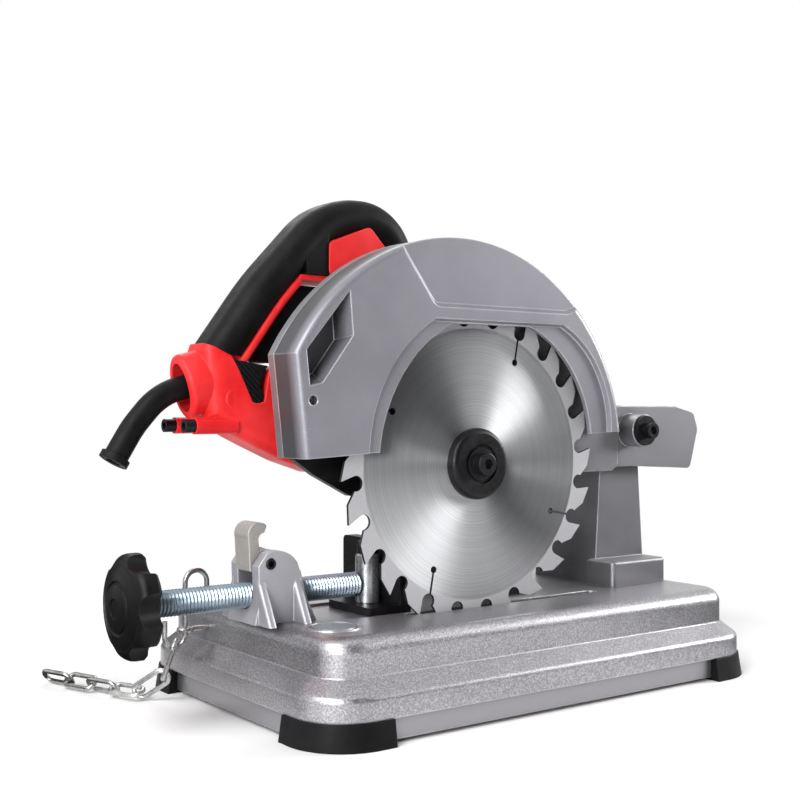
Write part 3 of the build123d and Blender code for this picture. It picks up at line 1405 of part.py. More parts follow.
# Handle: two red shells split at the middle, with a hollow bar for the switch
handle_near = handle_y - handle_width / 2
handle_far = handle_y + handle_width / 2
neck_top = [(-173.5, 202), (-160, 195.5)]
neck_low = [(-124, 137), (-143.5, 146), (-158, 153)]
lower_points = [
    (-174, 186), (-175, 198), *neck_top, (-145.5, 169.5), (-140, 170.5), (-137, 188), (-124, 191),
    (-40, 191), (-40, 128), (-103, 130), *neck_low, (-171, 162),
]
lower_cavity = [
    (-165, 188), (-158, 184), (-150, 166), (-136, 166), (-132, 180), (-75, 180), (-75, 137), (-104, 137),
    (-140, 150), (-166, 163),
]
flash_points = [(-98, 242), (-98, 261.5), (-70, 272.5), (-56, 258), (-66, 242)]
gusset_outline = [(-115.5, 239), (-50, 239), (-50, 264), (-93, 264)]
pad_outline = [
    (-158.5, 193.5), (-137.8, 190.3), (-141.5, 184), (-142.6, 179), (-140.5, 173), (-142, 169.8),
    (-147.5, 170),
]
gusset_rim = [(-117, 239), (-98, 239), (-98, 242.2), (-116, 242.2)]
gusset_cover = [(-112, 242.3), (-97.8, 242.3), (-97.8, 268), (-113, 252)]
grip_start = [
    (-200, 215), *[(x, z + seat_gap) for x, z in neck_top], (-149, 195.2), (-120, 195.2), (-120, 160),
    (-200, 160),
]
grip_end = [(-75, 238), (10, 246), (10, 180), (-75, 180)]
handle_screw_places = [(-158, 172), (-112, 150), (-90, 168), (-78, 251)]
clamp_screw_places = [(handle_y + s * 12, 157.5) for s in (-1, 1)]
clamp_boss_start = -181
clamp_boss_radius = 4.5


def bar_path():
    """Middle line of the bar, from the cable end over the crown to the motor."""
    with BuildLine(side(handle_y)) as path:
        FilletPolyline(
            bar_foot, bar_bend, bar_crown, bar_turn, bar_root,
            radius=(bar_bend_radius, bar_crown_radius, bar_turn_radius),
        )
    return path.wires()[0]


def bar_section(width, height, corner, lift=0.0):
    """Section across the foot of the bar; lift moves it towards the palm."""
    path = bar_path()
    along = path % 0
    palm = Vector(-along.Z, 0, along.X)
    with BuildSketch(Plane(path @ 0 + palm * lift, x_dir=(0, 1, 0), z_dir=along)) as section:
        RectangleRounded(width, height, corner)
    return section.sketch


def on_bar(along, palm):
    """Point beside the bend of the bar: a distance along it and a distance towards the palm."""
    slant = radians(bar_slant)
    x = bar_bend[0] + along * cos(slant) - palm * sin(slant)
    z = bar_bend[1] + along * sin(slant) + palm * cos(slant)
    return (x, z)


flash_gap = offset(rounded_outline(flash_points, flash_corner), amount=fit)
gusset_room = offset(outline(gusset_outline), amount=fit)
gusset_rim_room = offset(outline(gusset_rim), amount=fit)
pad_face = offset(outline(pad_outline), amount=-fit)
pod_room = offset(outline(pod_points), amount=seat_gap)
grip_height = core_height + grip_skin - strip_height
core_drop = (core_height - grip_height) / 2 - strip_height
underside = core_drop - core_height / 2
trigger_slot = [(-38, underside - 4), (17.5, underside - 4), (17.5, underside + 5), (-38, underside + 5)]
trigger_pin_place = on_bar(8, underside + 4.3)
trigger_points = [
    (-33, underside + 5.5), (-33, underside - 11), (-29, underside - trigger_reach),
    (-14, underside - trigger_reach), (12, underside - trigger_reach + 1), (26, underside - 13),
    (15.5, underside), (12, underside + 1), (12, underside + 7.5), (4, underside + 7.5),
    (0, underside + 5.5),
]


def bar_band(width, height, corner):
    """Strip along the underside of the bar, from its foot to the gusset."""
    sweep(bar_section(width, height, corner, underside + height / 2), path=bar_path())
    past_gusset = (gusset_outline[0][0], bar_root[0] + handle_width)
    rise = (bar_foot[1] - handle_width, bar_crown[1] + handle_width)
    block(past_gusset, (handle_near - 1, handle_far + 1), rise, mode=Mode.SUBTRACT)


with BuildPart() as bar_rim:
    bar_band(rim_width, rim_height, rim_round)
with BuildPart() as rim_room:
    bar_band(handle_width + 2, rim_height + fit, fit)
entry = Vector(sleeve_points[0][0], handle_y, sleeve_points[0][1])
entry_out = Vector(sleeve_points[1][0], handle_y, sleeve_points[1][1])
entry_way = (entry - entry_out).normalized()
mouth = entry - entry_way * collar_stand
with BuildPart() as handle:
    slab(outline(lower_points), handle_near, handle_far)
    with BuildSketch(Plane.XY.offset(120)):
        with BuildLine():
            Polyline(
                (-177, handle_y - collar_half_width), (neck_start, handle_near), (-40, handle_near),
                (-40, handle_far), (neck_start, handle_far), (-177, handle_y + collar_half_width),
                close=True,
            )
        make_face()
    extrude(amount=90, mode=Mode.INTERSECT)
    turns = [e for e in handle.edges().filter_by(Axis.Z) if abs(e.center().X - neck_start) < 0.01]
    for x, z in neck_low:
        bend = Vector(x, handle_y, z)
        turns += [e for e in handle.edges().filter_by(Axis.Y) if (e.center() - bend).length < 0.01]
    fillet(turns, neck_turn)
    rims = [e for e in handle.edges() if abs(e.center().Y - handle_y) > 10 and e.center().X < -105]
    fillet([e for e in rims if e.center().Z < 163 or e.center().X < -168], neck_round)
    # Oval collar round the cable
    with BuildPart() as collar:
        with BuildSketch(Plane(mouth, x_dir=(0, 1, 0), z_dir=entry_way)):
            Ellipse(collar_half_width, collar_half_height)
        extrude(amount=collar_length)
        fillet(collar.faces().sort_by(Axis.X)[0].edges(), collar_rim)
    add(collar.part)
    for y, z in clamp_screw_places:
        rod(clamp_boss_start, -156, y, z, clamp_boss_radius)
    slab(outline(lower_cavity), handle_near + handle_wall, handle_far - handle_wall, mode=Mode.SUBTRACT)
    sweep(bar_section(core_width, core_height, core_round, core_drop), path=bar_path())
    slab(outline(gusset_outline), handle_y - core_width / 2, handle_y + core_width / 2)
    # Red rim round the finger opening, under the grip and along the gusset
    add(bar_rim.part)
    slab(outline(gusset_rim), handle_y - rim_width / 2, handle_y + rim_width / 2)
    slab(rounded_outline(flash_points, flash_corner), handle_near - 0.4, handle_far + 0.4)
    for place in handle_screw_places:
        disc(place, handle_near + 1, handle_far - 1, head_screw_radius + 3)
    inner_width = core_width - 2 * handle_wall
    inner_height = core_height - 2 * handle_wall
    sweep(bar_section(inner_width, inner_height, 5, core_drop), path=bar_path(), mode=Mode.SUBTRACT)
    # Slot and pin hole of the trigger
    slot_half = trigger_width / 2 + 0.4
    slot_face = outline([on_bar(*p) for p in trigger_slot])
    slab(slot_face, handle_y - slot_half, handle_y + slot_half, mode=Mode.SUBTRACT)
    pin_half = core_width / 2 - handle_wall
    pin_hole = trigger_pin_radius + fit
    disc(trigger_pin_place, handle_y - pin_half, handle_y + pin_half, pin_hole, mode=Mode.SUBTRACT)
    # Cable entry: a wide mouth, then a seat for the sleeve
    with BuildSketch(Plane(entry, x_dir=(0, 1, 0), z_dir=entry_way)):
        Circle(sleeve_radius + fit)
    extrude(amount=6, both=True, mode=Mode.SUBTRACT)
    with BuildSketch(Plane(mouth, x_dir=(0, 1, 0), z_dir=entry_way)):
        Ellipse(collar_bore_width, collar_bore_height)
    extrude(amount=collar_bore_depth, mode=Mode.SUBTRACT)
    # Seat of the finger pad
    slab(outline(pad_outline), handle_near - 1, handle_far + 1, mode=Mode.SUBTRACT)
    # Room for the gear case, the barrel and the screw heads between them
    slab(case_outline(seat_gap), handle_near - 2, bearing_plate_far + seat_gap, mode=Mode.SUBTRACT)
    disc(motor_axis, bearing_plate_far, handle_far + 2, motor_radius + seat_gap, mode=Mode.SUBTRACT)
    slab(pod_room, bearing_plate_far, handle_far + 2, mode=Mode.SUBTRACT)
    for place in case_screw_places:
        disc(place, handle_near - 2, screw_head_height + 1, case_ear_radius + seat_gap, mode=Mode.SUBTRACT)
    # Screw holes
    for place in handle_screw_places:
        disc(place, handle_near + 3, handle_far + 1, head_screw_radius + fit, mode=Mode.SUBTRACT)
        disc(place, handle_far - 3, handle_far + 1, screw_head_radius + fit, mode=Mode.SUBTRACT)
    for y, z in clamp_screw_places:
        rod(clamp_boss_start - 1, clamp_boss_start + 12, y, z, head_screw_radius + fit, mode=Mode.SUBTRACT)

split_plane = side(handle_y)
with BuildPart() as handle_near_shell:
    add(handle.part)
    split(bisect_by=split_plane, keep=Keep.TOP)
write(handle_near_shell, "handle_near_shell")

with BuildPart() as handle_far_shell:
    add(handle.part)
    split(bisect_by=split_plane, keep=Keep.BOTTOM)
write(handle_far_shell, "handle_far_shell")

# Socket screws of the head, all of one kind: guard, bracket, gear case, end cap and handle
with BuildPart() as head_screws:
    for place in guard_screw_places:
        y_screw(place, plate_far, -1, head_screw_radius, guard_screw_length)
    for place in bracket_bolt_places:
        y_screw(place, cheek_far, -1, head_screw_radius, bracket_cheek + plate_thickness - 2)
    for place in case_screw_places:
        through = case_screw_length + bearing_plate_far - case_far
        y_screw(place, bearing_plate_far, -1, head_screw_radius, through)
    for place in cap_screw_places:
        y_screw(place, cap_far - cap_ear_drop, -1, head_screw_radius, cap_screw_length - 2)
    for place in handle_screw_places:
        y_screw(place, handle_far - 3, -1, head_screw_radius, handle_width - 7)
write(head_screws, "head_screws")

with BuildPart() as clamp_screws:
    for y, z in clamp_screw_places:
        rod(clamp_boss_start, clamp_boss_start + 11, y, z, head_screw_radius)
        rod(clamp_boss_start - 6, clamp_boss_start, y, z, screw_head_radius)
        rod(clamp_boss_start - 7, clamp_boss_start - 4, y, z, head_screw_radius, mode=Mode.SUBTRACT)
write(clamp_screws, "clamp_screws")

# Soft grip over the top and the sides of the bar
with BuildPart() as soft_grip:
    sweep(bar_section(handle_width, grip_height, grip_round), path=bar_path())
    add(rim_room.part, mode=Mode.SUBTRACT)
    slab(outline(gusset_cover), handle_near + 0.5, handle_far - 0.5)
    core_room = bar_section(core_width + 2 * fit, core_height + 2 * fit, core_round, core_drop)
    sweep(core_room, path=bar_path(), mode=Mode.SUBTRACT)
    gusset_half = core_width / 2 + fit
    slab(gusset_room, handle_y - gusset_half, handle_y + gusset_half, mode=Mode.SUBTRACT)
    slab(gusset_rim_room, handle_near - 1, handle_far + 1, mode=Mode.SUBTRACT)
    slab(outline(grip_start), handle_near - 1, handle_far + 1, mode=Mode.SUBTRACT)
    slab(outline(grip_end), handle_near - 1, handle_far + 1, mode=Mode.SUBTRACT)
    slab(flash_gap, handle_near - 1, handle_far + 1, mode=Mode.SUBTRACT)
write(soft_grip, "soft_grip")

# Ribbed pad at the lower corner of the finger opening
with BuildPart() as finger_pad:
    slab(pad_face, handle_near + 0.5, handle_far - 0.5)
write(finger_pad, "finger_pad")

# Trigger under the bar, on a pin at its upper end
with BuildPart() as trigger:
    trigger_face = outline([on_bar(*p) for p in trigger_points])
    slab(trigger_face, handle_y - trigger_width / 2, handle_y + trigger_width / 2)
    fillet([e for e in trigger.edges().filter_by(Axis.Y) if e.center().Z < bar_bend[1] - 38], trigger_edge)
    disc(trigger_pin_place, handle_near, handle_far, trigger_pin_radius + running_fit, mode=Mode.SUBTRACT)
write(trigger, "trigger")

with BuildPart() as trigger_pin:
    disc(trigger_pin_place, handle_y - pin_half + fit, handle_y + pin_half - fit, trigger_pin_radius)
write(trigger_pin, "trigger_pin")

switch_points = [(-16, underside + 10), (8, underside + 10), (8, underside + 14), (-16, underside + 14)]
with BuildPart() as power_switch:
    slab(outline([on_bar(*p) for p in switch_points]), handle_y - 6, handle_y + 6)
write(power_switch, "power_switch")

# Flexible sleeve that guards the cable where it leaves the handle
with BuildPart() as cable_sleeve:
    with BuildLine(side(handle_y)) as sleeve_path:
        FilletPolyline(*sleeve_points, radius=sleeve_bends)
    sleeve_line = sleeve_path.wires()[0]
    with BuildSketch(Plane(sleeve_line @ 0, x_dir=(0, 1, 0), z_dir=sleeve_line % 0)):
        Circle(sleeve_radius)
    sweep(path=sleeve_line)
    with BuildSketch(Plane(sleeve_line @ 1, x_dir=(0, 1, 0), z_dir=(sleeve_line % 1) * -1)):
        Circle(sleeve_flare)
    extrude(amount=sleeve_flare_length)
    with BuildSketch(Plane(sleeve_line @ 0, x_dir=(0, 1, 0), z_dir=sleeve_line % 0)):
        Circle(sleeve_bore)
    sweep(path=sleeve_line, mode=Mode.SUBTRACT)
write(cable_sleeve, "cable_sleeve")
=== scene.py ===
import math

import bpy
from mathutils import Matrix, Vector


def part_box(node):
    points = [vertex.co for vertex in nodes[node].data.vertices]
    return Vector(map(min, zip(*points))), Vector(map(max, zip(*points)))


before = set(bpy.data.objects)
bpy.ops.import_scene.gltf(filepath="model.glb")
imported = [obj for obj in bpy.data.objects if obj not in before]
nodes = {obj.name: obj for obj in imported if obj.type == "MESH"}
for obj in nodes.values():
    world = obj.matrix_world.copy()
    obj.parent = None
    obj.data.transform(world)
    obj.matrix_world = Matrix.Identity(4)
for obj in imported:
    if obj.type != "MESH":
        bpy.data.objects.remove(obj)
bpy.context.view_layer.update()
scene = bpy.context.scene

MM = 0.001
LOW, MIDDLE, HIGH = 0.3, 0.5, 0.7   # where noise is dark, middling and light
FACTOR, UNDER, OVER = 0, 6, 7       # sockets of a colour mix
EDGE_SAMPLES = 4


def paint(code):
    """Linear colour from an sRGB hex code."""
    levels = [int(code[i:i + 2], 16) / 255 for i in (1, 3, 5)]
    linear = [v / 12.92 if v <= 0.04045 else ((v + 0.055) / 1.055) ** 2.4 for v in levels]
    return (*linear, 1.0)


def add(tree, kind, sockets=None, stops=(), **settings):
    """Adds a node with its settings.

    A socket takes a value, an output, or a node, which gives its first output in use.
    Stops are the places and hex colours of a ramp.
    """
    node = tree.nodes.new(kind)
    for name, value in settings.items():
        setattr(node, name, value)
    for key, value in (sockets or {}).items():
        if isinstance(value, bpy.types.Node):
            value = next(output for output in value.outputs if output.enabled)
        if isinstance(value, bpy.types.NodeSocket):
            tree.links.new(value, node.inputs[key])
        else:
            node.inputs[key].default_value = value
    stops = list(stops)
    if stops:
        marks = node.color_ramp.elements
        while len(marks) < len(stops):
            marks.new(MIDDLE)
        for mark, (at, code) in zip(marks, stops):
            mark.position = at
            mark.color = paint(code)
    return node


def material(name):
    """New material with an empty node tree."""
    made = bpy.data.materials.new(name)
    made.use_nodes = True
    made.node_tree.nodes.clear()
    return made, made.node_tree


def worn_edges(tree, reach_mm):
    """1 on sharp edges, where hands and work rub, and 0 on flats."""
    sharp, flat = 0.80, 0.99        # how well the rounded normal agrees with the true one
    rounded = add(tree, "ShaderNodeBevel", {"Radius": reach_mm * MM}, samples=EDGE_SAMPLES)
    true = add(tree, "ShaderNodeNewGeometry").outputs["Normal"]
    agreement = add(tree, "ShaderNodeVectorMath", {0: rounded, 1: true}, operation="DOT_PRODUCT")
    return add(tree, "ShaderNodeMapRange", {
        "Value": agreement, "From Min": sharp, "From Max": flat, "To Min": 1.0, "To Max": 0.0})


def casting(name, tones, worn, grain_mm, depth_mm, gloss, metal, skirt=None, window=None):
    """Cast metal: grain in colour, gloss and bump, cloudy tone, painted shade in corners and rubbed edges.

    The skirt is the base's lower edge, and the window the deep opening in the guard's side, whose colour is
    painted shade that deepens towards its floor.
    """
    cloud_mm = 40
    shade_reach_mm = 9
    corner_shade_share = 0.55
    closed, open_wide = 0.25, 0.85  # how much sky a corner in full painted shade and a face without painted shade see
    rub_mm = 1.2
    rub_share = (0.4, 1.0)
    edge_mm = 1.0
    skirt_top_mm = (13.4, 13.8)     # height at which the skirt meets the first step of the base
    window_shade_mm = (-62.5, -56)        # from the guard's side to the floor of its window, along Y, over which the painted shade deepens
    window_shade_share = 0.85
    made, tree = material(name)
    where = add(tree, "ShaderNodeTexCoord").outputs["Object"]
    grain = add(tree, "ShaderNodeTexNoise", {
        "Vector": where, "Scale": 1 / (grain_mm * MM), "Detail": 2.0, "Roughness": 0.7})
    cloud = add(tree, "ShaderNodeTexNoise", {
        "Vector": where, "Scale": 1 / (cloud_mm * MM), "Detail": 3.0, "Roughness": 0.55})
    flecks = add(tree, "ShaderNodeValToRGB", {"Fac": grain}, zip((LOW, MIDDLE, HIGH), tones))
    tone = add(tree, "ShaderNodeValToRGB", {"Fac": cloud}, [(LOW, "#ECECED"), (HIGH, "#FFFFFF")])
    colour = add(tree, "ShaderNodeMix", {FACTOR: 1.0, UNDER: flecks, OVER: tone},
                 data_type="RGBA", blend_type="MULTIPLY")
    axes = add(tree, "ShaderNodeSeparateXYZ", {0: where}).outputs
    if skirt:
        below = add(tree, "ShaderNodeMapRange", {
            "Value": axes["Z"], "From Min": skirt_top_mm[0] * MM, "From Max": skirt_top_mm[1] * MM,
            "To Min": 1.0, "To Max": 0.0})
        colour = add(tree, "ShaderNodeMix", {FACTOR: below, UNDER: colour, OVER: paint(skirt)},
                     data_type="RGBA")
    # Painted shade: the guard's window is darkened with depth along Y, towards its floor
    if window:
        window_shading = add(tree, "ShaderNodeMapRange", {
            "Value": axes["Y"], "From Min": window_shade_mm[0] * MM, "From Max": window_shade_mm[1] * MM,
            "To Min": 0.0, "To Max": window_shade_share})
        colour = add(tree, "ShaderNodeMix", {FACTOR: window_shading, UNDER: colour, OVER: paint(window)},
                     data_type="RGBA")
    # Painted shade: corners, creases and seams that see little of the sky are darkened towards a brown grey
    open_air = add(tree, "ShaderNodeAmbientOcclusion", {"Distance": shade_reach_mm * MM}, samples=6)
    corner_shade = add(tree, "ShaderNodeMapRange", {
        "Value": open_air.outputs["AO"], "From Min": closed, "From Max": open_wide,
        "To Min": corner_shade_share, "To Max": 0.0})
    colour = add(tree, "ShaderNodeMix", {FACTOR: corner_shade, UNDER: colour, OVER: paint("#4A4644")},
                 data_type="RGBA")
    handled = add(tree, "ShaderNodeMapRange", {
        "Value": cloud, "From Min": LOW, "From Max": HIGH,
        "To Min": rub_share[0], "To Max": rub_share[1]})
    rub = add(tree, "ShaderNodeMath", {0: worn_edges(tree, rub_mm), 1: handled}, operation="MULTIPLY")
    colour = add(tree, "ShaderNodeMix", {FACTOR: rub, UNDER: colour, OVER: paint(worn)}, data_type="RGBA")
    rough = add(tree, "ShaderNodeMapRange", {
        "Value": grain, "From Min": LOW, "From Max": HIGH, "To Min": gloss[0], "To Max": gloss[1]})
    edge = add(tree, "ShaderNodeBevel", {"Radius": edge_mm * MM}, samples=EDGE_SAMPLES)
    bump = add(tree, "ShaderNodeBump", {
        "Height": grain, "Strength": 1.0, "Distance": depth_mm * MM, "Normal": edge})
    shader = add(tree, "ShaderNodeBsdfPrincipled", {
        "Base Color": colour, "Roughness": rough, "Normal": bump, "Metallic": metal})
    add(tree, "ShaderNodeOutputMaterial", {"Surface": shader})
    return made


def moulded(name, tones, grain_mm, depth_mm, gloss, shine, worn=None, ribs_mm=None):
    """Moulded plastic, rubber or carbon: grain in the bump, handling marks, rubbed edges, crossed ribs.

    The grain that the tool leaves is near 0.1 mm and wouldn't show, so it is drawn coarser.
    """
    cloud_mm = 22
    smear_mm = 9
    rub_mm = 0.9
    rub_share = (0.15, 0.7)
    edge_mm = 0.8
    rib_height_mm = 0.5
    wave_length = 0.314             # metres between the crests of a wave texture at scale 1
    made, tree = material(name)
    where = add(tree, "ShaderNodeTexCoord").outputs["Object"]
    grain = add(tree, "ShaderNodeTexNoise", {
        "Vector": where, "Scale": 1 / (grain_mm * MM), "Detail": 2.0, "Roughness": 0.6})
    cloud = add(tree, "ShaderNodeTexNoise", {
        "Vector": where, "Scale": 1 / (cloud_mm * MM), "Detail": 4.0, "Roughness": 0.55})
    smear = add(tree, "ShaderNodeTexNoise", {
        "Vector": where, "Scale": 1 / (smear_mm * MM), "Detail": 4.0, "Roughness": 0.55})
    colour = add(tree, "ShaderNodeValToRGB", {"Fac": cloud}, zip((LOW, MIDDLE, 0.72), tones))
    if worn:
        handled = add(tree, "ShaderNodeMapRange", {
            "Value": cloud, "From Min": LOW, "From Max": HIGH,
            "To Min": rub_share[0], "To Max": rub_share[1]})
        rub = add(tree, "ShaderNodeMath", {0: worn_edges(tree, rub_mm), 1: handled}, operation="MULTIPLY")
        colour = add(tree, "ShaderNodeMix", {FACTOR: rub, UNDER: colour, OVER: paint(worn)},
                     data_type="RGBA")
    rough = add(tree, "ShaderNodeMapRange", {
        "Value": smear, "From Min": LOW, "From Max": HIGH, "To Min": gloss[0], "To Max": gloss[1]})
    edge = add(tree, "ShaderNodeBevel", {"Radius": edge_mm * MM}, samples=EDGE_SAMPLES)
    bump = add(tree, "ShaderNodeBump", {
        "Height": grain, "Strength": 1.0, "Distance": depth_mm * MM, "Normal": edge})
    if ribs_mm:
        rows = {"Vector": where, "Scale": wave_length / (ribs_mm * MM)}
        straight = add(tree, "ShaderNodeTexWave", rows, bands_direction="Y").outputs["Fac"]
        slanted = add(tree, "ShaderNodeTexWave", rows, bands_direction="DIAGONAL").outputs["Fac"]
        crossed = add(tree, "ShaderNodeMath", {0: straight, 1: slanted}, operation="MULTIPLY")
        bump = add(tree, "ShaderNodeBump", {
            "Height": crossed, "Distance": rib_height_mm * MM, "Normal": bump})
    shader = add(tree, "ShaderNodeBsdfPrincipled", {
        "Base Color": colour, "Roughness": rough, "Normal": bump, "Specular IOR Level": shine})
    add(tree, "ShaderNodeOutputMaterial", {"Surface": shader})
    return made


def plated(name, tones, gloss, metal=0.95, shine=0.5):
    """Plated, ground or drawn metal: handling stains, and a faint spangle in colour, gloss and bump.

    Real crystals and grinding marks are near 0.1 mm and wouldn't show, so the spangle is drawn coarser.
    """
    spangle_mm = 1.6
    spangle_share = 0.25
    spangle_depth_mm = 0.02
    stain_mm = 12
    edge_mm = 0.4
    made, tree = material(name)
    where = add(tree, "ShaderNodeTexCoord").outputs["Object"]
    spangle = add(tree, "ShaderNodeTexNoise", {
        "Vector": where, "Scale": 1 / (spangle_mm * MM), "Detail": 2.0, "Roughness": 0.55})
    stain = add(tree, "ShaderNodeTexNoise", {
        "Vector": where, "Scale": 1 / (stain_mm * MM), "Detail": 4.0, "Roughness": 0.55})
    stained = add(tree, "ShaderNodeValToRGB", {"Fac": stain}, zip((LOW, MIDDLE, HIGH), tones))
    glint = add(tree, "ShaderNodeMapRange", {
        "Value": spangle, "From Min": LOW, "From Max": HIGH, "To Min": 0.0, "To Max": spangle_share})
    colour = add(tree, "ShaderNodeMix", {FACTOR: glint, UNDER: stained, OVER: paint(tones[-1])},
                 data_type="RGBA")
    rough = add(tree, "ShaderNodeMapRange", {
        "Value": spangle, "From Min": LOW, "From Max": HIGH, "To Min": gloss[0], "To Max": gloss[1]})
    edge = add(tree, "ShaderNodeBevel", {"Radius": edge_mm * MM}, samples=EDGE_SAMPLES)
    bump = add(tree, "ShaderNodeBump", {
        "Height": spangle, "Strength": 1.0, "Distance": spangle_depth_mm * MM, "Normal": edge})
    shader = add(tree, "ShaderNodeBsdfPrincipled", {
        "Base Color": colour, "Roughness": rough, "Normal": bump, "Metallic": metal,
        "Specular IOR Level": shine})
    add(tree, "ShaderNodeOutputMaterial", {"Surface": shader})
    return made


def turned_blade():
    """Saw blade: a matte rim that carries the teeth, round a bright disc with fine turned rings."""
    ring_mm = 0.5
    band_mm = 6
    band_share = 0.35
    grain_mm = 0.5
    ring_depth_mm = 0.02
    rim_mm = (77.6, 78.4)           # radius at which the bright disc meets the matte rim
    ring_gloss = (0.32, 0.4)
    rim_rough = 0.6
    disc_metal, rim_metal = 0.95, 0.15
    stretch = 0.94                  # how far the rings draw a light out
    quarter_turn = 0.25             # the light runs across the rings
    made, tree = material("turned_blade_steel")
    where = add(tree, "ShaderNodeTexCoord").outputs["Object"]
    low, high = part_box("saw_blade")
    middle = tuple((low + high) / 2)
    from_middle = add(tree, "ShaderNodeVectorMath", {0: where, 1: middle}, operation="SUBTRACT")
    in_disc = add(tree, "ShaderNodeVectorMath", {0: from_middle, 1: (1, 0, 1)}, operation="MULTIPLY")
    radius = add(tree, "ShaderNodeVectorMath", {0: in_disc}, operation="LENGTH")
    rings = add(tree, "ShaderNodeTexNoise", {"W": radius, "Scale": 1 / (ring_mm * MM), "Detail": 4.0},
                noise_dimensions="1D")
    bands = add(tree, "ShaderNodeTexNoise", {"W": radius, "Scale": 1 / (band_mm * MM), "Detail": 3.0},
                noise_dimensions="1D")
    turned = add(tree, "ShaderNodeValToRGB", {"Fac": rings},
                 [(0.25, "#A2A3A5"), (0.5, "#BDBEC0"), (0.75, "#D2D3D4")])
    band = add(tree, "ShaderNodeMapRange", {
        "Value": bands, "From Min": LOW, "From Max": HIGH, "To Min": 0.0, "To Max": band_share})
    bright = add(tree, "ShaderNodeMix", {FACTOR: band, UNDER: turned, OVER: paint("#A8A9AC")},
                 data_type="RGBA")
    grain = add(tree, "ShaderNodeTexNoise", {
        "Vector": where, "Scale": 1 / (grain_mm * MM), "Detail": 2.0, "Roughness": 0.55})
    matte = add(tree, "ShaderNodeValToRGB", {"Fac": grain}, [(LOW, "#A2A2A5"), (HIGH, "#B4B4B7")])
    rim = add(tree, "ShaderNodeMapRange", {
        "Value": radius, "From Min": rim_mm[0] * MM, "From Max": rim_mm[1] * MM})
    colour = add(tree, "ShaderNodeMix", {FACTOR: rim, UNDER: bright, OVER: matte}, data_type="RGBA")
    ring_rough = add(tree, "ShaderNodeMapRange", {
        "Value": rings, "From Min": LOW, "From Max": HIGH,
        "To Min": ring_gloss[0], "To Max": ring_gloss[1]})
    rough = add(tree, "ShaderNodeMix", {FACTOR: rim, "A": ring_rough, "B": rim_rough})
    # The cut walls of slots and teeth face along the blade and are left scorched and dark
    facing = add(tree, "ShaderNodeNewGeometry").outputs["True Normal"]
    sideways = add(tree, "ShaderNodeSeparateXYZ", {0: facing}).outputs["Y"]
    across = add(tree, "ShaderNodeMath", {0: sideways}, operation="ABSOLUTE")
    wall = add(tree, "ShaderNodeMapRange", {
        "Value": across, "From Min": 0.4, "From Max": 0.7, "To Min": 1.0, "To Max": 0.0})
    colour = add(tree, "ShaderNodeMix", {FACTOR: wall, UNDER: colour, OVER: paint("#161617")},
                 data_type="RGBA")
    dull = add(tree, "ShaderNodeMath", {0: rim, 1: wall}, operation="MAXIMUM")
    metal = add(tree, "ShaderNodeMapRange", {"Value": dull, "To Min": disc_metal, "To Max": rim_metal})
    around = add(tree, "ShaderNodeTangent", direction_type="RADIAL", axis="Y")
    bump = add(tree, "ShaderNodeBump", {
        "Height": rings, "Strength": 0.3, "Distance": ring_depth_mm * MM})
    shader = add(tree, "ShaderNodeBsdfPrincipled", {
        "Base Color": colour, "Roughness": rough, "Normal": bump, "Metallic": metal,
        "Anisotropic": stretch, "Anisotropic Rotation": quarter_turn, "Tangent": around})
    add(tree, "ShaderNodeOutputMaterial", {"Surface": shader})
    return made


# Aluminium, die cast and sprayed with silver paint: the flakes sparkle and break up the light along the
# steps, over a plainer skirt. Real flakes are near 0.1 mm and wouldn't show, so they are drawn at 0.9 mm.
painted_base = casting(
    "silver_painted_cast_aluminium", ("#8F8D91", "#A9A7AB", "#D2D1D4"), "#F0EFF1",
    grain_mm=0.9, depth_mm=0.09, gloss=(0.3, 0.42), metal=0.85, skirt="#A09EA2")
# Aluminium, cast and shot blasted: an even satin grey with bright edges. The marks of the shot are finer
# than the render can show, so here and on the next two they are drawn at 0.5 mm.
blasted_post = casting(
    "blasted_cast_aluminium", ("#87868A", "#929195", "#9F9EA2"), "#E2E2E4",
    grain_mm=0.5, depth_mm=0.025, gloss=(0.36, 0.44), metal=0.7)
# Aluminium, die cast and lacquered: a cool grey that scatters more light than it mirrors, so the rim
# that faces the lamp is pale. Its window has painted shade that darkens towards the floor.
lacquered_guard = casting(
    "lacquered_cast_aluminium", ("#807F86", "#8B8A91", "#98979E"), "#E6E6E9",
    grain_mm=0.5, depth_mm=0.025, gloss=(0.34, 0.42), metal=0.45, window="#39393C")
# Aluminium, cast and tumbled smooth: paler than the rest, with soft highlights along the ears
tumbled_bracket = casting(
    "tumbled_cast_aluminium", ("#A4A3A9", "#AFAEB4", "#BBBAC0"), "#F2F2F4",
    grain_mm=0.5, depth_mm=0.025, gloss=(0.34, 0.42), metal=0.5)
# Zinc alloy, die cast and left bare: a dull warm grey
bare_lever = casting(
    "bare_cast_zinc", ("#9C9894", "#AAA6A2", "#B7B3AF"), "#DDDAD7",
    grain_mm=0.6, depth_mm=0.04, gloss=(0.42, 0.55), metal=0.45)
# Rubber, moulded over the handle: near black and dull, a little greyer on rubbed edges
grip_rubber = moulded(
    "overmoulded_grip_rubber", ("#0A0A0B", "#0F0F10", "#171718"),
    grain_mm=0.5, depth_mm=0.05, gloss=(0.42, 0.58), shine=0.14, worn="#252526")
# The same rubber with crossed ribs, which catch the light in short dashes
ribbed_rubber = moulded(
    "ribbed_grip_rubber", ("#0A0A0B", "#0F0F10", "#171718"),
    grain_mm=0.5, depth_mm=0.05, gloss=(0.42, 0.58), shine=0.14, worn="#252526", ribs_mm=1.6)
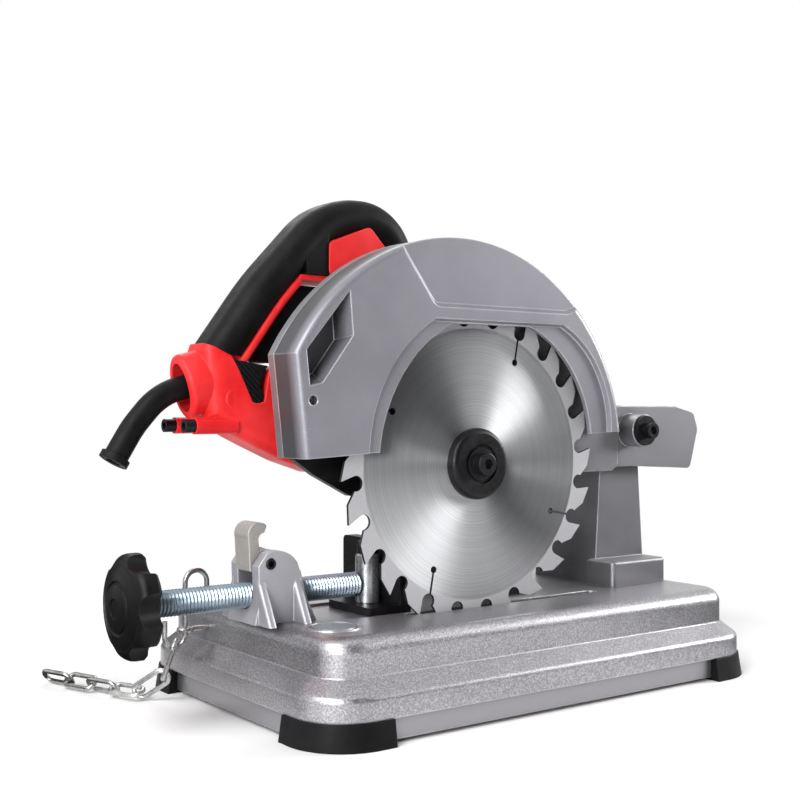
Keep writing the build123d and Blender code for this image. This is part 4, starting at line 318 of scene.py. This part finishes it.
# Hard rubber, moulded for the feet: the dullest black, with a coarser grain
foot_rubber = moulded(
    "moulded_foot_rubber", ("#09090A", "#0D0D0F", "#151517"),
    grain_mm=0.8, depth_mm=0.06, gloss=(0.45, 0.62), shine=0.14, worn="#202022")
# Nylon, moulded in a spark-eroded tool: black with a low satin gloss
black_nylon = moulded(
    "moulded_black_nylon", ("#09090A", "#0D0D0E", "#141416"),
    grain_mm=0.35, depth_mm=0.03, gloss=(0.34, 0.48), shine=0.16, worn="#232326")
# ABS, moulded in a spark-eroded tool: a full, satin red that pales on rubbed edges
red_abs = moulded(
    "moulded_red_abs", ("#D01C20", "#E02729", "#EA383A"),
    grain_mm=0.4, depth_mm=0.025, gloss=(0.36, 0.48), shine=0.22, worn="#F26A66")
# Carbon, pressed and fired: charcoal grey without gloss
pressed_carbon = moulded(
    "pressed_carbon", ("#19191A", "#232324", "#303031"),
    grain_mm=0.3, depth_mm=0.02, gloss=(0.55, 0.7), shine=0.3)
# Steel, zinc plated and passivated: a cool bluish grey that glints on each ridge of the thread
zinc_screw = plated("zinc_plated_steel", ("#8794A0", "#92A0AC", "#A3B1BC"), gloss=(0.3, 0.38))
# Steel wire, drawn and bright zinc plated: neutral, with sharp lights and dark stains
zinc_wire = plated("zinc_plated_wire", ("#8C8C8B", "#B0B0AE", "#D6D6D4"), gloss=(0.24, 0.38))
# Steel, ground: a clean grey that mirrors its surroundings
ground_steel = plated("ground_steel", ("#94969A", "#AEB0B4", "#CDCFD2"), gloss=(0.26, 0.4))
# Steel with black oxide: dry and near black, with dim lights
oxide_steel = plated(
    "black_oxide_steel", ("#0B0B0D", "#121214", "#1E1E21"), gloss=(0.3, 0.45), metal=0.2, shine=0.3)
# Sheet iron, stamped and stacked: a dark, dull grey
stacked_iron = plated("stacked_sheet_iron", ("#3A3B3E", "#4C4D50", "#66676A"), gloss=(0.4, 0.55))
# Copper, drawn into wire and bars: warm orange brown, paler where it is clean
drawn_copper = plated("drawn_copper", ("#8E4A26", "#B4683C", "#D08A5C"), gloss=(0.3, 0.45))
# Steel, turned on its sides: the rings fan the light out into two bright and two dark sectors. Real rings
# are near 0.1 mm apart and wouldn't show, so they are drawn at 0.5 mm.
blade_steel = turned_blade()

wearing = {
    painted_base: ["base"],
    blasted_post: ["gear_case", "pivot_bracket", "pivot_post", "bearing_plate"],
    lacquered_guard: ["blade_guard"],
    tumbled_bracket: ["vise_bracket"],
    bare_lever: ["half_nut_lever"],
    grip_rubber: ["soft_grip", "cable_sleeve"],
    ribbed_rubber: ["finger_pad"],
    foot_rubber: ["foot_front_near", "foot_front_far", "foot_rear_near", "foot_rear_far"],
    black_nylon: ["vise_knob", "trigger", "chip_deflector", "motor_housing", "motor_end_cap", "cooling_fan",
                  "brush_holders", "brush_caps", "power_switch"],
    red_abs: ["handle_near_shell", "handle_far_shell"],
    pressed_carbon: ["carbon_brushes"],
    zinc_screw: ["vise_screw", "base_screws", "base_bolts", "head_screws"],
    zinc_wire: ["hold_down_hook", "hold_down_chain", "anchor_eye"],
    ground_steel: ["inner_flange", "spindle", "drive_gear", "pinion", "armature_shaft", "spindle_bearings",
                   "armature_bearings", "pivot_shaft", "trigger_pin", "return_spring", "jaw_post"],
    oxide_steel: ["jaw_plate", "fence", "outer_flange", "arbor_bolt", "pivot_washers", "pivot_bolts",
                  "jaw_bolt", "clamp_screws", "lever_pin"],
    stacked_iron: ["stator", "armature_core"],
    drawn_copper: ["field_coils", "commutator"],
    blade_steel: ["saw_blade"],
}
for finish, names in wearing.items():
    for name in names:
        mesh = nodes[name].data
        mesh.materials.clear()
        mesh.materials.append(finish)

# Camera where the photograph was taken from, turned from +Y towards +X
camera_place = (-0.47515, -0.59270, 0.16816)
camera_turn = math.radians(36.134)
camera_rise = 0.0049
camera_sensor_mm = 36
camera_lens_mm = 54.91
lens = bpy.data.cameras.new("camera")
lens.sensor_width = camera_sensor_mm
lens.lens = camera_lens_mm
camera = bpy.data.objects.new("camera", lens)
scene.collection.objects.link(camera)
camera.location = camera_place
look = Vector((math.sin(camera_turn), math.cos(camera_turn), camera_rise))
camera.rotation_euler = look.to_track_quat("-Z", "Y").to_euler()
scene.camera = camera


def board(name, corners):
    """Flat four-sided stage piece."""
    mesh = bpy.data.meshes.new(name)
    mesh.from_pydata(corners, [], [(0, 1, 2, 3)])
    made = bpy.data.objects.new(name, mesh)
    scene.collection.objects.link(made)
    return made


def seen_rays(tree):
    """1 for rays that show the background: straight from the camera, off metal or through glass."""
    path = add(tree, "ShaderNodeLightPath").outputs
    mirrored = add(tree, "ShaderNodeMath", {0: path["Is Glossy Ray"], 1: path["Is Transmission Ray"]},
                   operation="MAXIMUM")
    return add(tree, "ShaderNodeMath", {0: path["Is Camera Ray"], 1: mirrored}, operation="MAXIMUM")


# Painted floor, pale and matte: it keeps the shadow near the saw and runs out into plain white
floor_reach = 6.0
floor_drop = 0.0002         # below the feet, so that the two faces don't fight
floor_cloud_mm = 40
run_out_start, run_out_end = 0.3, 0.75
floor = board("floor", [
    (-floor_reach, -floor_reach, 0), (floor_reach, -floor_reach, 0),
    (floor_reach, floor_reach, 0), (-floor_reach, floor_reach, 0)])
floor.location.z = -floor_drop
floor_look, floor_tree = material("pale_painted_floor")
spot = add(floor_tree, "ShaderNodeTexCoord").outputs["Object"]
floor_cloud = add(floor_tree, "ShaderNodeTexNoise", {
    "Vector": spot, "Scale": 1 / (floor_cloud_mm * MM), "Detail": 3.0, "Roughness": 0.55})
floor_colour = add(floor_tree, "ShaderNodeValToRGB", {"Fac": floor_cloud},
                   [(LOW, "#F6F6F6"), (HIGH, "#FAFAFA")])
matte_floor = add(floor_tree, "ShaderNodeBsdfPrincipled", {
    "Base Color": floor_colour, "Roughness": 0.85, "Specular IOR Level": 0.1})
far_off = add(floor_tree, "ShaderNodeVectorMath", {0: spot}, operation="LENGTH")
run_out = add(floor_tree, "ShaderNodeMapRange", {
    "Value": far_off, "From Min": run_out_start, "From Max": run_out_end})
white_share = add(floor_tree, "ShaderNodeMath", {0: run_out, 1: seen_rays(floor_tree)},
                  operation="MULTIPLY")
plain_white = add(floor_tree, "ShaderNodeEmission", {"Color": paint("#FFFFFF"), "Strength": 1.0})
floor_mix = add(floor_tree, "ShaderNodeMixShader", {0: white_share, 1: matte_floor, 2: plain_white})
add(floor_tree, "ShaderNodeOutputMaterial", {"Surface": floor_mix})
floor.data.materials.append(floor_look)

# Wool felt on the cards beside the camera: dark and without gloss, for the metal to mirror between
# the lamps
felt_tuft_mm = 6
felt_look, felt_tree = material("dark_wool_felt")
felt_spot = add(felt_tree, "ShaderNodeTexCoord").outputs["Object"]
felt_tufts = add(felt_tree, "ShaderNodeTexNoise", {
    "Vector": felt_spot, "Scale": 1 / (felt_tuft_mm * MM), "Detail": 3.0, "Roughness": 0.55})
felt_colour = add(felt_tree, "ShaderNodeValToRGB", {"Fac": felt_tufts},
                  [(LOW, "#1C1C1E"), (HIGH, "#262628")])
felt_shader = add(felt_tree, "ShaderNodeBsdfPrincipled", {
    "Base Color": felt_colour, "Roughness": 0.9, "Specular IOR Level": 0.1})
add(felt_tree, "ShaderNodeOutputMaterial", {"Surface": felt_shader})
card_corners = {
    "tall_card": [(-0.89, -1.28, 0.02), (0.77, -1.32, 0.02), (0.77, -1.32, 2.2), (-0.89, -1.28, 2.2)],
    "right_card": [(0.77, -1.32, 0.02), (1.9, -0.5, 0.02), (1.9, -0.5, 0.4), (0.77, -1.32, 0.4)],
    "far_right_card": [(1.9, -0.5, 0.02), (1.9, 0.7, 0.02), (1.9, 0.7, 0.3), (1.9, -0.5, 0.4)],
    "back_card": [(-0.38, 0.42, 0.02), (0.1, 0.42, 0.02), (0.1, 0.42, 0.3), (-0.38, 0.42, 0.3)],
    "left_low_card": [(-0.2, -0.05, 0.003), (-0.2, 0.7, 0.003), (-1.1, 0.9, 0.003), (-0.9, -0.05, 0.003)],
    "low_card": [(0.2, -0.22, 0.003), (1.0, -1.33, 0.003), (2.0, -0.6, 0.003), (1.6, 0.1, 0.003)],
    "right_low_card": [(0.2, -0.22, 0.003), (1.6, 0.1, 0.003), (1.6, 0.6, 0.003), (0.2, 0.3, 0.003)],
}
for name, corners in card_corners.items():
    card = board(name, corners)
    card.visible_camera = False
    card.visible_shadow = False
    card.visible_diffuse = False
    card.data.materials.append(felt_look)


def lamp(name, at, aim, size, power):
    """Soft square lamp."""
    data = bpy.data.lights.new(name, "AREA")
    data.shape = "SQUARE"
    data.size = size
    data.energy = power
    made = bpy.data.objects.new(name, data)
    scene.collection.objects.link(made)
    made.location = at
    made.rotation_euler = (Vector(aim) - Vector(at)).to_track_quat("-Z", "Y").to_euler()


# The key lights the handle's end, the lamp by the camera the base's round corner, the right one the fan
# on the blade, and the back one the top edges
lamp("key", (-1.5, -0.5, 1.5), aim=(0, 0, 0.1), size=1.0, power=30)
lamp("camera_side", (-1.25, -0.85, 0.36), aim=(0, 0, 0.08), size=0.4, power=12)
lamp("right", (1.68, -0.68, 0.68), aim=(0, 0, 0.12), size=0.6, power=24)
lamp("back", (0.5, 1.5, 1.6), aim=(0, 0, 0.1), size=1.0, power=9)

# World: white wherever it is seen or mirrored, a soft grey room for the light it sheds
room_strength = 0.55
room_low, room_high = -0.3, 1.0     # heights of the view at which the room is darkest and lightest
world = bpy.data.worlds.new("studio")
scene.world = world
world.use_nodes = True
sky = world.node_tree
sky.nodes.clear()
way = add(sky, "ShaderNodeTexCoord").outputs["Generated"]
up = add(sky, "ShaderNodeSeparateXYZ", {0: way}).outputs["Z"]
height = add(sky, "ShaderNodeMapRange", {"Value": up, "From Min": room_low, "From Max": room_high})
room = add(sky, "ShaderNodeValToRGB", {"Fac": height},
           [(0.0, "#8A8A8C"), (0.3, "#9C9C9E"), (1.0, "#FFFFFF")])
shown = seen_rays(sky)
sky_colour = add(sky, "ShaderNodeMix", {FACTOR: shown, UNDER: room, OVER: paint("#FFFFFF")},
                 data_type="RGBA")
strength = add(sky, "ShaderNodeMapRange", {"Value": shown, "To Min": room_strength, "To Max": 1.0})
glow = add(sky, "ShaderNodeBackground", {"Color": sky_colour, "Strength": strength})
add(sky, "ShaderNodeOutputWorld", {"Surface": glow})

scene.view_settings.view_transform = "Standard"
